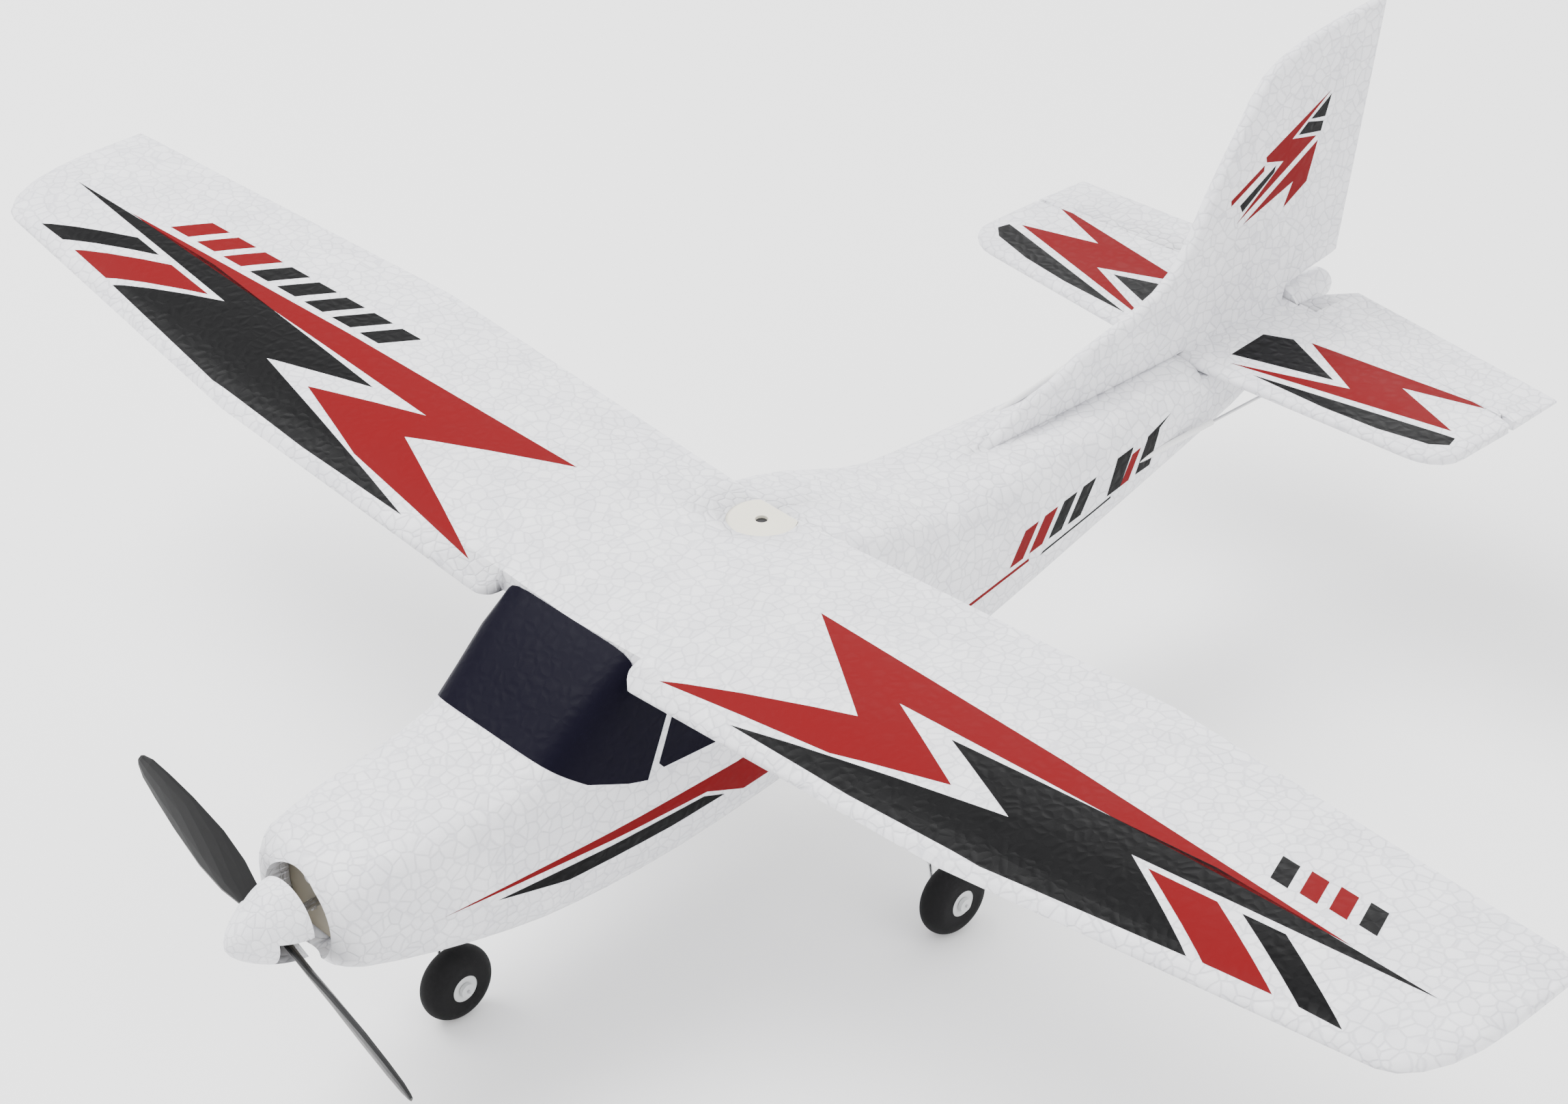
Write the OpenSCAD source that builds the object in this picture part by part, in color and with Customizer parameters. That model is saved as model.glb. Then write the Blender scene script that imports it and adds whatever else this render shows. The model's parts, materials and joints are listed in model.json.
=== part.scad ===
// High-wing foam trainer airplane on tricycle gear.
// Millimetres. X points to the left wing tip, Y to the tail and Z up. The shapes are drawn about
// an airframe datum at the wing screw, on top of the wing, and on_wheels() sets them on the ground.

/* [Wing] */
// Wing span, tip to tip
span = 708; // [560:1:860]
// Wing chord at the fuselage
root_chord = 106; // [86:1:128]
// Wing chord where the tip rounding starts
tip_chord = 74; // [58:1:90]
// Length of each straight inner panel, from the centre
inner_panel = 182; // [140:1:220]
// Height of the upper surface over the chord line
wing_crown = 7.6; // [6:0.1:9.5]
// Depth of the lower surface under the chord line
wing_belly = 3; // [2:0.1:4]
// Rise of each wing half
dihedral = 3.7; // [0:0.1:5]
// Diameter of the round plate under the wing screw
screw_plate_d = 25; // [20:0.5:30]
// Diameter of the wing spar
spar_d = 3; // [2:0.1:4]

/* [Fuselage] */
// Width of the cabin
cabin_w = 69; // [57:0.5:84]
// Width of the nose
nose_w = 57; // [50:0.5:70]
// Depth of the cabin from the wing's top to the belly
cabin_h = 98; // [88:0.5:118]
// Length of the nose ahead of the windshield
nose_len = 79; // [76:0.5:96]
// Fore and aft run of the sloping windshield
screen_run = 39; // [34:0.5:48]
// Length of the tail boom behind the wing
boom_len = 289; // [240:1:350]
// Thickness of the moulded foam walls
wall = 6; // [5:0.1:7]
// Radius of the round end of the tail
tail_end_r = 6.5; // [5.5:0.1:8]

/* [Tail] */
// Span of the tailplane
tail_span = 242; // [200:1:290]
// Thickness of the tail surfaces
tail_t = 5; // [4:0.1:6]
// Height of the fin over the tailplane
fin_h = 111; // [90:1:135]
// Thickness of the fin
fin_t = 5.4; // [5:0.1:7]
// Furthest that the rudder turns each way
rudder_travel = 22; // [10:1:25]

/* [Propeller] */
// Diameter of the propeller
prop_d = 150; // [120:1:150]
// Greatest chord of a blade
blade_chord = 17; // [13:0.5:20]
// Diameter of the spinner at its base
spinner_d = 29; // [24:0.5:34]
// Diameter of the motor
motor_d = 27; // [22:0.5:28]
// Diameter of the motor shaft
shaft_d = 3.2; // [2:0.1:4]
// Turn of the resting propeller about its shaft
prop_rest = 157; // [90:1:180]

/* [Landing gear] */
// Diameter of the tyres
tyre_d = 28.4; // [23:0.1:34.5]
// Width of the tyres
tyre_w = 11; // [9:0.1:13]
// Diameter of the landing gear wire
wire_d = 1.2; // [1:0.1:2]
// Distance between the middles of the main wheels
track = 168; // [140:1:200]
// Length that the legs hang below the belly, down to the axles
leg_drop = 35; // [28:0.5:44]

/* [Controls] */
// Diameter of the pushrods
rod_d = 1.2; // [0.8:0.1:1.6]
// Width of each servo case
servo_w = 12; // [10:0.1:13]
// Length of the servo arms, from the shaft to the pushrod
servo_arm_r = 12; // [10:0.5:14]
// Height of the elevator horn, from its hinge to the pushrod
elevator_horn_r = 20; // [18:0.5:22]
// Reach of the rudder horn, from its hinge to the pushrod
rudder_horn_r = 12; // [10:0.5:13]

/* [Hidden] */
$fn = 48;

// Fits between pieces
foam_gap = 0.3;          // between mouldings that are glued or seated
run_gap = 0.05;          // between a shaft and its bore
swing_gap = 0.35;        // between surfaces that turn past each other
eps = 0.01;              // overshoot of a cut past a face

// Stations along Y, from the wing screw
screw_inset = 9.5;       // wing screw ahead of the trailing edge
y_te = screw_inset;
y_le = y_te - root_chord;
screen_inset = 10;       // windshield top behind the wing's leading edge
y_screen_top = y_le + screen_inset;
y_screen_foot = y_screen_top - screen_run;
y_nose = y_screen_foot - nose_len;
y_tail_ball = y_te + boom_len;
y_tail_end = y_tail_ball + tail_end_r;
tail_root_chord = 65;    // fixed part of the tailplane at the fuselage
elevator_ahead = 20;     // elevator hinge ahead of the tail ball
y_hinge = y_tail_ball - elevator_ahead;
y_tail_le = y_hinge - tail_root_chord;

// Heights, from the top of the wing at its screw
z_chord_le = -7.5;       // chord line at the leading edge
z_chord_te = -2;         // chord line at the trailing edge
z_belly = -cabin_h;
z_prop = -60;            // thrust line
z_deck = -17.5;          // top of the boom behind the fairing
z_tail = -21.2;          // middle of the tailplane
z_tail_top = z_tail + tail_t / 2;
z_fin_top = z_tail_top + fin_h;
cabin_half = cabin_w / 2;
nose_half = nose_w / 2;

// Wheels
main_y = 13;
nose_wheel_y = y_nose + 61;
z_gear_belly = -89.8;    // belly over the main wheels
z_axle = z_gear_belly - leg_drop;
ground_z = z_axle - tyre_d / 2;
spinner_len = 25;
spinner_gap = 4;         // between the nose and the spinner
y_spinner = y_nose - spinner_gap;
y_front = y_spinner - spinner_len;
tip_lean = 20;           // rudder's top behind the tail ball's end
y_fin_tip = y_tail_end + tip_lean;
y_mid = (y_front + y_fin_tip) / 2;

// Sets the airframe datum over the ground, at the middle of the airplane's length.
module on_wheels() translate([0, -y_mid, -ground_z]) children();

// ---- curves and skins ----
// Row of a list of [y, value] rows that a station falls in
function row_of(l, y, i = 0) = (i >= len(l) - 2 || y < l[i + 1][0]) ? i : row_of(l, y, i + 1);
function rise(l, a, b) = (l[b][1] - l[a][1]) / (l[b][0] - l[a][0]);
function slope(l, i) = rise(l, max(i - 1, 0), min(i + 1, len(l) - 1));
// Smooth curve through a list of [y, value] rows
function curve(l, y) = let (i = row_of(l, y), h = l[i + 1][0] - l[i][0], t = (y - l[i][0]) / h,
    u = 1 - t) l[i][1] * u * u * (1 + 2 * t) + l[i + 1][1] * t * t * (3 - 2 * t)
    + h * (slope(l, i) * t * u * u - slope(l, i + 1) * t * t * u);

function flip(l) = [for (i = [len(l) - 1:-1:0]) l[i]];
// Closed skin through rings of points. Every ring has the same count of points.
module skin(rings) {
    n = len(rings[0]);
    m = len(rings);
    points = [for (ring = rings) each ring];
    sides = [for (i = [0:m - 2], j = [0:n - 1]) let (a = i * n + j, b = i * n + (j + 1) % n)
        each [[a, b, b + n], [a, b + n, a + n]]];
    first = [for (j = [n - 1:-1:0]) j];
    last = [for (j = [0:n - 1]) (m - 1) * n + j];
    polyhedron(points, concat(sides, [first, last]));
}

// Round bar between two points
module bar(a, b, r) {
    d = b - a;
    translate(a) rotate([0, acos(d[2] / norm(d)), atan2(d[1], d[0])]) cylinder(r = r, h = norm(d));
}

// Bent wire through a list of points, rounded at each bend
wire_sides = 12;
bend_reach = 0.9;        // how far from its corner a bend begins
bend_steps = 4;
function turned_corner(a, p, b) = let (from = p + bend_reach * unit(a - p), to = p + bend_reach * unit(b - p))
    [for (k = [0:bend_steps]) let (t = k / bend_steps) (1 - t) * (1 - t) * from + 2 * t * (1 - t) * p + t * t * to];
function rounded(p) = concat([p[0]],
    [for (i = [1:len(p) - 2]) each turned_corner(p[i - 1], p[i], p[i + 1])], [p[len(p) - 1]]);
function carried(dirs, i, a) = let (b = unit(a - (a * dirs[i]) * dirs[i]))
    i == len(dirs) - 1 ? [b] : concat([b], carried(dirs, i + 1, b));
module bent_wire(points, r, first_side = [0, 1, 0]) {
    path = rounded(points);
    dirs = [for (i = [0:len(path) - 1]) lead_dir(path, i)];
    across = carried(dirs, 0, first_side);
    skin([for (i = [0:len(path) - 1]) let (a = across[i], b = cross(dirs[i], a))
        [for (k = [0:wire_sides - 1]) let (t = 360 / wire_sides * k) path[i] + r * (cos(t) * a - sin(t) * b)]]);
}

// Soft lead through a list of points, with eight sides
function unit(v) = v / norm(v);
function lead_dir(p, i) = unit(unit(p[min(i + 1, len(p) - 1)] - p[max(i, 0) - (i == len(p) - 1 ? 1 : 0)])
    + unit(p[i == 0 ? 1 : i] - p[i == 0 ? 0 : i - 1]));
module lead(points, r) skin([for (i = [0:len(points) - 1]) let (d = lead_dir(points, i),
    a = unit(cross(d, [1, 0, 0])), b = cross(d, a))
    [for (k = [0:7]) points[i] + r * (cos(45 * k) * a - sin(45 * k) * b)]]);

// Box from its low corner to its high corner
module block(low, high) translate(low) cube(high - low);

// Outline in the Y-Z plane, made thick about X = 0
module upright(t) rotate([90, 0, 90]) translate([0, 0, -t / 2]) linear_extrude(t) children();

// ---- fuselage ----
nose_round = 8;          // depth of the rounding at the nose's rim
y_fairing = y_te + 58;   // end of the fairing behind the wing
side_line = [[y_nose, nose_half - 9.5], [y_nose + 2, nose_half - 5.4],
    [y_nose + nose_round, nose_half - 1.8], [y_nose + 16, nose_half - 0.5], [y_nose + 36, nose_half + 1.4],
    [y_screen_foot, cabin_half - 1.8], [y_screen_top, cabin_half], [y_te, cabin_half - 0.5],
    [y_fairing, cabin_half - 4.5], [y_te + 100, cabin_half - 7.5],
    [y_te + 150, cabin_half - 11], [y_tail_le - 18, cabin_half - 14.5],
    [y_hinge - 30, tail_end_r + 8], [y_hinge, tail_end_r + 3], [y_tail_ball, tail_end_r],
    [y_tail_ball + tail_end_r * 0.7, tail_end_r * 0.72], [y_tail_end, tail_end_r * 0.15]];
top_line = [[y_nose, z_prop + 15], [y_nose + 2, z_prop + 19.2], [y_nose + nose_round, z_prop + 23],
    [y_nose + 30, z_prop + 25.2], [y_screen_foot - 15, z_prop + 27.8],
    [y_screen_foot, z_prop + 30.3], [y_screen_foot + screen_run / 2, -14.2],
    [y_screen_top, -0.3], [y_screen_top + 20, 0], [y_te - 5, 0], [y_te + 6, -1.2],
    [y_te + 25, -5.2], [y_te + 42, -11], [y_fairing, z_deck + 1.6], [y_te + 75, z_deck + 0.2],
    [y_te + 100, z_deck], [y_tail_le, z_tail_top], [y_hinge - 15, z_tail_top],
    [y_hinge, z_tail + tail_end_r], [y_tail_ball, z_tail + tail_end_r],
    [y_tail_ball + tail_end_r * 0.7, z_tail + tail_end_r * 0.72],
    [y_tail_end, z_tail + tail_end_r * 0.15]];
belly_line = [[y_nose, z_prop - 13], [y_nose + 2, z_prop - 16], [y_nose + nose_round, z_prop - 18.6],
    [y_nose + 15, z_prop - 20.5], [y_nose + 36, z_belly + 12], [y_nose + 64, z_belly + 6.3],
    [y_screen_foot + 12, z_belly + 2.6], [y_screen_top + 4, z_belly], [y_screen_top + 36, z_belly + 1.4],
    [y_te - 28, z_belly + 4.6], [main_y, z_gear_belly], [y_te + 84, z_belly + 20.5],
    [y_te + 152, z_belly + 34.5], [y_tail_le - 16, z_belly + 41],
    [y_hinge - 30, z_tail - 25.5], [y_hinge, z_tail - 15], [y_tail_ball, z_tail - tail_end_r],
    [y_tail_ball + tail_end_r * 0.7, z_tail - tail_end_r * 0.72],
    [y_tail_end, z_tail - tail_end_r * 0.15]];
// Squareness of the section: 2 is an ellipse, more is squarer
crown_line = [[y_nose, 3], [y_nose + 25, 4.4], [y_screen_foot, 5.6], [y_screen_top, 9], [y_te, 7],
    [y_fairing, 5], [y_te + 120, 4.4], [y_hinge, 2.2], [y_tail_end, 2]];
keel_line = [[y_nose, 3], [y_nose + 25, 3.8], [y_screen_foot, 4.6], [y_screen_top, 4.4], [y_te, 4],
    [y_te + 100, 3.6], [y_hinge, 2.4], [y_tail_end, 2]];

function bend(v, n) = sign(v) * pow(abs(v), 2 / n);
// Ring of the fuselage at a station, moved inward by a wall
function hoop(y, inset, count) = let (w = curve(side_line, y) - inset,
    top = curve(top_line, y) - inset, low = curve(belly_line, y) + inset,
    mid = (top + low) / 2, h = (top - low) / 2, up = curve(crown_line, y),
    down = curve(keel_line, y))
    [for (i = [0:count - 1]) let (a = 360 * (i + 0.5) / count, n = sin(a) > 0 ? up : down)
        [w * bend(cos(a), n), y, mid + h * bend(sin(a), n)]];

// Stations where the skin gets a ring
skin_stations = concat([y_nose, y_nose + 1, y_nose + 2, y_nose + 5, y_nose + 9, y_nose + 22],
    [for (k = [1:4]) y_nose + 22 + (nose_len - 22) * k / 4],
    [for (k = [1:3]) y_screen_foot + screen_run * k / 3],
    [for (k = [1:5]) y_screen_top + (y_te - y_screen_top) * k / 5],
    [for (k = [1:6]) y_te + (y_fairing + 20 - y_te) * k / 6],
    [for (k = [1:6]) y_fairing + 20 + (y_hinge - 16 - y_fairing - 20) * k / 6],
    [y_hinge - 7, y_hinge, y_hinge + 10, y_tail_ball, y_tail_ball + tail_end_r * 0.4,
    y_tail_ball + tail_end_r * 0.7, y_tail_ball + tail_end_r * 0.9, y_tail_end]);
y_firewall = y_nose + 13;   // front of the motor's bay
y_bay_end = y_hinge - 40;   // rear end of the hollow boom
bay_stations = concat([for (k = [0:4]) y_firewall + (y_screen_foot - y_firewall) * k / 4],
    [y_screen_foot + screen_run * 0.5], [for (k = [0:4]) y_screen_top + (y_te - y_screen_top) * k / 4],
    [for (k = [1:3]) y_te + (y_fairing - y_te) * k / 3],
    [for (k = [1:5]) y_fairing + (y_bay_end - y_fairing) * k / 5]);

module body_skin() skin([for (y = skin_stations) hoop(y, 0, 28)]);
module bay_skin() skin([for (y = bay_stations) hoop(y, wall, 20)]);

// Lower outline of the wing in the Y-Z plane, closed above it
function saddle_outline(gap) = let (steps = 8, pts = wing_lower(0, steps))
    concat([for (p = pts) [p[0] - (p == pts[0] ? gap : 0), p[1] - gap]],
    [[y_te + gap, 20], [y_screen_top - gap, 20]]);

// Room for the wing over one half of the cabin, from a little past the centre plane
seat_start = 2;
module wing_seat(side) mirror([side > 0 ? 0 : 1, 0, 0]) rotate([0, -dihedral, 0])
    translate([-seat_start, 0, 0]) rotate([90, 0, 90]) linear_extrude(cabin_half + 20)
    polygon(saddle_outline(foam_gap));

// Hatch opening in the belly
hatch_len = 70;
hatch_w = 40;
hatch_t = wall;
y_hatch = y_screen_foot + 14;
module hatch_room(gap) block([-hatch_w / 2 - gap, y_hatch - gap, z_belly - 10],
    [hatch_w / 2 + gap, y_hatch + hatch_len + gap, z_belly + hatch_t + 3 + gap]);

recess_r = spinner_d / 2 + 3;
mount_t = 3;
block_w = 18;
block_l = 18;
block_h = 9;
z_nose_block = -88;         // underside of the nose gear's block
plate_l = 22;
plate_w = 34;
plate_t = 1.8;
z_plate = z_gear_belly - 1.9;  // top of the gear plate
wire_r = wire_d / 2;
z_main_wire = z_gear_belly + 0.8;
fin_root = 4;               // depth of the fin's tongue in the deck
y_fin_start = y_te + 101;
joiner_r = 0.6;
keeper_d = 6;
keeper_t = 2;

module body_cuts(side) {
    bay_skin();
    wing_seat(side);
    // motor bay and the round recess behind the spinner
    translate([0, y_nose - eps, z_prop]) rotate([-90, 0, 0]) cylinder(r = recess_r, h = y_firewall - y_nose + 1);
    translate([0, y_firewall - mount_t, z_prop]) mount_plate(foam_gap);
    hatch_room(foam_gap);
    // wing screw, its plate and the block it screws into
    plate_disc(foam_gap, -screw_plate_t - foam_gap, 10);
    translate([0, 0, -30]) cylinder(r = screw_hole_r, h = 60);
    nut_block_room(foam_gap);
    // tongue of the wing
    block([-tongue_w / 2 - foam_gap, y_screen_top - tongue_reach - foam_gap, z_tongue - foam_gap],
        [tongue_w / 2 + foam_gap, y_screen_top + 5, z_tongue + tongue_t + foam_gap]);
    // seat of the tailplane, open above
    block([-cabin_half, y_tail_le - foam_gap, z_tail - tail_t / 2 - foam_gap],
        [cabin_half, y_hinge - hinge_back + foam_gap, z_tail_top + 30]);
    // slot of the fin's tongue
    block([-fin_t / 2 - foam_gap, y_fin_start - foam_gap, z_deck - fin_root - foam_gap],
        [fin_t / 2 + foam_gap, y_tail_le, z_deck + 20]);
    // elevator joiner
    translate([0, y_hinge, z_tail]) rotate([0, 90, 0]) cylinder(r = joiner_r + 0.8, h = 60, center = true);
    elevator_room();
    // guide tubes
    tube_line(elevator_tube_front, elevator_tube_end, guide_r + foam_gap / 2);
    tube_line(rudder_tube_front, rudder_tube_end, guide_r + foam_gap / 2);
    // nose gear block, from below
    block([-block_w / 2 - foam_gap, nose_wheel_y - block_l / 2 - foam_gap, z_belly - 5],
        [block_w / 2 + foam_gap, nose_wheel_y + block_l / 2 + foam_gap, z_nose_block + block_h + foam_gap]);
    // main gear: groove for the wire, screws and flat for the plate
    block([-cabin_half, main_y - wire_r - 0.2, z_belly - 5], [cabin_half, main_y + wire_r + 0.2, z_main_wire + wire_r + 0.2]);
    block([-cabin_half, main_y - plate_l / 2 - foam_gap, z_belly - 5],
        [cabin_half, main_y + plate_l / 2 + foam_gap, z_plate]);
    for (p = plate_screw_places) translate([p[0], p[1], z_plate - eps]) cylinder(r = 1.05, h = 9);
    // magnet of the hatch
    translate([0, y_hatch + hatch_len + 6, z_keeper - 0.1]) cylinder(d = keeper_d + 0.2, h = keeper_t + 0.2);
}
z_keeper = z_belly + 5;

module half_body(side) color("white") difference() {
    intersection() {
        body_skin();
        block([side > 0 ? 0 : -cabin_half - 40, y_nose - 40, z_belly - 40],
            [side > 0 ? cabin_half + 40 : 0, y_tail_end + 40, 60]);
    }
    body_cuts(side);
}
module fuselage_left_half() half_body(1);
module fuselage_right_half() half_body(-1);

hatch_magnet_y = y_hatch + hatch_len - 5;
module battery_hatch() color("white") difference() {
    intersection() {
        body_skin();
        block([-hatch_w / 2, y_hatch, z_belly - 10],
            [hatch_w / 2, y_hatch + hatch_len, z_belly + hatch_t]);
    }
    translate([0, hatch_magnet_y, z_belly + hatch_t - keeper_t - 0.1]) cylinder(d = keeper_d + 0.2, h = keeper_t + 1);
}
module hatch_magnet() color("silver")
    translate([0, hatch_magnet_y, z_belly + hatch_t - keeper_t]) cylinder(d = keeper_d, h = keeper_t);
module hatch_keeper() color("silver")
    translate([0, y_hatch + hatch_len + 6, z_keeper]) cylinder(d = keeper_d, h = keeper_t);

// ---- wing ----
tip_round = 18;          // run of the rounding at each wing tip
tip_sweep = 34;          // how far the rounded tip cuts the leading edge back
te_sweep = 20;           // trailing edge at the tip ahead of the root
te_edge = 1.6;           // thickness of the trailing edge
x_tip = span / 2;
x_round = x_tip - tip_round;
// Share of the full thickness at a share of the chord
function foil(s) = 10 * (0.2969 * sqrt(s) - 0.126 * s - 0.3516 * s * s + 0.2843 * pow(s, 3)
    - 0.1036 * pow(s, 4));
function mix(a, b, t) = a + (b - a) * t;
function outer_share(x) = max(0, (x - inner_panel) / (x_tip - inner_panel));
function wing_te(x) = y_te - te_sweep * outer_share(x);
function wing_le(x) = wing_te(x) - mix(root_chord, tip_chord, outer_share(x) * (x_tip - inner_panel)
    / (x_round - inner_panel));
// Point of the wing at a share of the chord, above (1) or below (-1) the chord line
function wing_point(x, s, face, thin = 1, le_cut = 0) = let (le = wing_le(x) + le_cut, te = wing_te(x),
    ratio = (te - le) / root_chord, depth = face > 0 ? wing_crown : wing_belly)
    [mix(le, te, s), mix(z_chord_le, z_chord_te, s) * ratio + (1 - ratio) * z_chord_te
    + face * thin * (depth * ratio * foil(s) + te_edge / 2 * s)];
function wing_lower(x, steps) = [for (k = [0:steps]) let (s0 = screen_inset / root_chord,
    s = mix(s0, 1, k / steps)) wing_point(x, s, -1)];
// Spacing of the section's points, close together at the leading edge
function spread(k, n) = 1 - cos(90 * k / n);
foil_steps = 11;
function wing_ring(x, thin = 1, le_cut = 0) = let (
    upper = [for (k = [foil_steps:-1:1]) wing_point(abs(x), spread(k, foil_steps), 1, thin, le_cut)],
    lower = [for (k = [0:foil_steps]) wing_point(abs(x), spread(k, foil_steps), -1, thin, le_cut)])
    [for (p = flip(concat(upper, lower))) [x, p[0], p[1] + abs(x) * tan(dihedral)]];
tip_steps = 5;
wing_half_rings = concat([for (x = [cabin_half, inner_panel / 2, inner_panel, (inner_panel + x_round) / 2]) [x, 1, 0]],
    [for (k = [0:tip_steps]) let (a = 90 * k / tip_steps)
    [x_round + tip_round * sin(a), 1 - 0.55 * pow(k / tip_steps, 2), tip_sweep * (1 - cos(a))]]);
module wing_blank() skin(concat(
    [for (k = [len(wing_half_rings) - 1:-1:0]) let (r = wing_half_rings[k]) wing_ring(-r[0], r[1], r[2])],
    [wing_ring(0)], [for (r = wing_half_rings) wing_ring(r[0], r[1], r[2])]));

tongue_w = 24;
tongue_t = 1.8;
tongue_reach = 8.5;      // how far the tongue reaches into the cabin's front
tongue_len = 26;
z_tongue = -11.6;
root_fillet = 7;         // rounding of the leading edge beside the windshield
notch_half = cabin_half + 1;
plate_r = screw_plate_d / 2;
screw_plate_t = 1.6;
screw_r = 1.25;
screw_head_r = 2.1;
screw_hole_r = 2.3;
screw_sink = 1;          // top of the screw's head below the plate's top
y_spar = y_te - root_chord * 0.66;
spar_len = 0.62 * span;
z_spar = -4.6;
function spar_end(side) = [side * spar_len / 2, y_spar, z_spar + spar_len / 2 * tan(dihedral)];

// Spar: two straight rods that meet at the centre, with the wing's dihedral
module spar_shape(r) {
    centre = [0, y_spar, z_spar];
    bar(centre, spar_end(1), r);
    bar(centre, spar_end(-1), r);
    translate(centre) sphere(r = r);
}

// Room for the windshield's top in the middle of the leading edge, with rounded ends
module windshield_notch() difference() {
    translate([0, 0, -40]) linear_extrude(80) difference() {
        translate([-notch_half - root_fillet, y_le - 10]) square([2 * (notch_half + root_fillet), screen_inset + 10]);
        for (side = [-1, 1]) translate([side * (notch_half + root_fillet), y_le + root_fillet]) circle(r = root_fillet);
        for (side = [-1, 1]) translate([side * (notch_half + root_fillet) - (side > 0 ? root_fillet : 0),
            y_le + root_fillet]) square([root_fillet, screen_inset]);
    }
}

module plate_disc(extra_r, low, high) intersection() {
    translate([0, 0, low]) cylinder(r = plate_r + extra_r, h = high - low);
    block([-plate_r * 2, -plate_r * 2, low - 1], [plate_r * 2, y_te - 1.2 + extra_r, high + 1]);
}

module wing() color("white") difference() {
    wing_blank();
    windshield_notch();
    spar_shape(spar_d / 2 + run_gap);
    plate_disc(0.1, -screw_plate_t, 10);
    translate([0, 0, -30]) cylinder(r = screw_hole_r, h = 60);
}
module wing_spar() color("dimgray") spar_shape(spar_d / 2);
module wing_tongue() color("ivory") block([-tongue_w / 2, y_screen_top - tongue_reach, z_tongue],
    [tongue_w / 2, y_screen_top - tongue_reach + tongue_len, z_tongue + tongue_t]);
module wing_screw_plate() color("cornsilk") difference() {
    plate_disc(0, -screw_plate_t, 0);
    translate([0, 0, -10]) cylinder(r = screw_hole_r, h = 20);
}
screw_len = 14;
module wing_screw() color("dimgray") translate([0, 0, -screw_sink]) {
    translate([0, 0, -2]) cylinder(r = screw_head_r, h = 2);
    translate([0, 0, -2 - screw_len]) cylinder(r = screw_r, h = screw_len);
}
nut_block_l = 14;
z_nut_block = -6;
nut_block_t = 8;
nut_block_half = cabin_half - wall - foam_gap;
module nut_block_room(gap) block([-nut_block_half - gap, -nut_block_l / 2 - gap, z_nut_block - nut_block_t - gap],
    [nut_block_half + gap, nut_block_l / 2 + gap, z_nut_block + gap]);
module wing_nut_block() color("burlywood") difference() {
    nut_block_room(0);
    translate([0, 0, z_nut_block - nut_block_t - 1]) cylinder(r = screw_r + run_gap, h = 20);
}

// ---- tail ----
hinge_sweep = 0.092;     // how far the elevator's hinge leans forward for each unit of X
hinge_angle = atan(hinge_sweep);
hinge_back = 1.6;        // end of the fixed surface ahead of the hinge line
elevator_chord = 26.5;
elevator_edge = 1.6;     // thickness of the elevator's trailing edge
tail_half = tail_span / 2;
tail_root_x = 20;        // rounded corner of the tailplane beside the fuselage
tail_tip_round = 16;     // run of the rounding at each tip
tail_tip_cut = 12;       // how far the rounded tip cuts the leading edge back
tail_le_sweep = 0.085;
elevator_root = 9.8;     // inner end of each elevator half
function hinge_y(x) = y_hinge - hinge_sweep * abs(x);
function tail_le(x) = y_tail_le + tail_le_sweep * abs(x);
function tail_te(x) = hinge_y(x) + elevator_chord + (abs(x) < 18 ? (abs(x) - 18) * 1.4 : 0);
function tail_ring(x, share = 1, cut = 0) = let (r = tail_t / 2 * share, le = tail_le(x) + cut, te = tail_te(x),
    edge = elevator_edge / 2 * share, h = hinge_y(x))
    flip(concat([[x, te, edge], [x, h, r]],
    [for (a = [90:30:270]) [x, le + 1.4 * r + 1.4 * r * cos(a), r * sin(a)]], [[x, h, -r], [x, te, -edge]]));
tail_stations = concat([[elevator_root, 1, 0], [18, 1, 0], [tail_half - tail_tip_round, 1, 0]],
    [for (k = [1:5]) let (a = 18 * k) [tail_half - tail_tip_round + tail_tip_round * sin(a),
    1 - 0.4 * pow(k / 5, 2), tail_tip_cut * (1 - cos(a))]]);
// The whole tail, tip to tip, with the elevators
module tail_skin() translate([0, 0, z_tail]) skin(concat(
    [for (k = [len(tail_stations) - 1:-1:0]) let (t = tail_stations[k]) tail_ring(-t[0], t[1], t[2])],
    [for (t = tail_stations) tail_ring(t[0], t[1], t[2])]));
// Bar along one side's hinge line
module hinge_bar(side, r) bar([0, y_hinge, z_tail], [side * (tail_half + 20), hinge_y(tail_half + 20), z_tail], r);

// Everything ahead of the hinge line, less the hinge's gap
module ahead_of_hinge(back) translate([0, 0, z_tail - 30]) linear_extrude(60) polygon([[-tail_half - 9, 0],
    [-tail_half - 9, hinge_y(tail_half + 9) - back], [0, y_hinge - back],
    [tail_half + 9, hinge_y(tail_half + 9) - back], [tail_half + 9, 0]]);
module tailplane() color("white") difference() {
    intersection() {
        tail_skin();
        ahead_of_hinge(hinge_back);
    }
    for (side = [-1, 1]) hinge_bar(side, tail_t / 2 + swing_gap);
}

// Section of a control surface across its hinge: a round nose and a tapering blade
module blade_section(t, edge, chord) polygon(concat([for (a = [90:15:270]) t / 2 * [cos(a), sin(a)]],
    [[chord, -edge / 2], [chord, edge / 2]]));
nose_sink = 0.02;        // nose's surface under the blade's
blade_start = 0.4;       // blade's front face behind the hinge line
// Each elevator half: a blade behind the hinge line and a round nose on it
module elevator_blank(side) {
    difference() {
        intersection() {
            tail_skin();
            block([side > 0 ? elevator_root : -tail_half - 20, y_tail_le - 60, z_tail - 20],
                [side > 0 ? tail_half + 20 : -elevator_root, y_tail_end + 60, z_tail + 20]);
        }
        ahead_of_hinge(-blade_start);
    }
    intersection() {
        hinge_bar(side, tail_t / 2 - nose_sink);
        nose_end = tail_half - tail_tip_round * 0.4;
        block([side > 0 ? elevator_root : -nose_end, y_tail_le, z_tail - 20],
            [side > 0 ? nose_end : -elevator_root, y_tail_end + 60, z_tail + 20]);
    }
}
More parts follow.
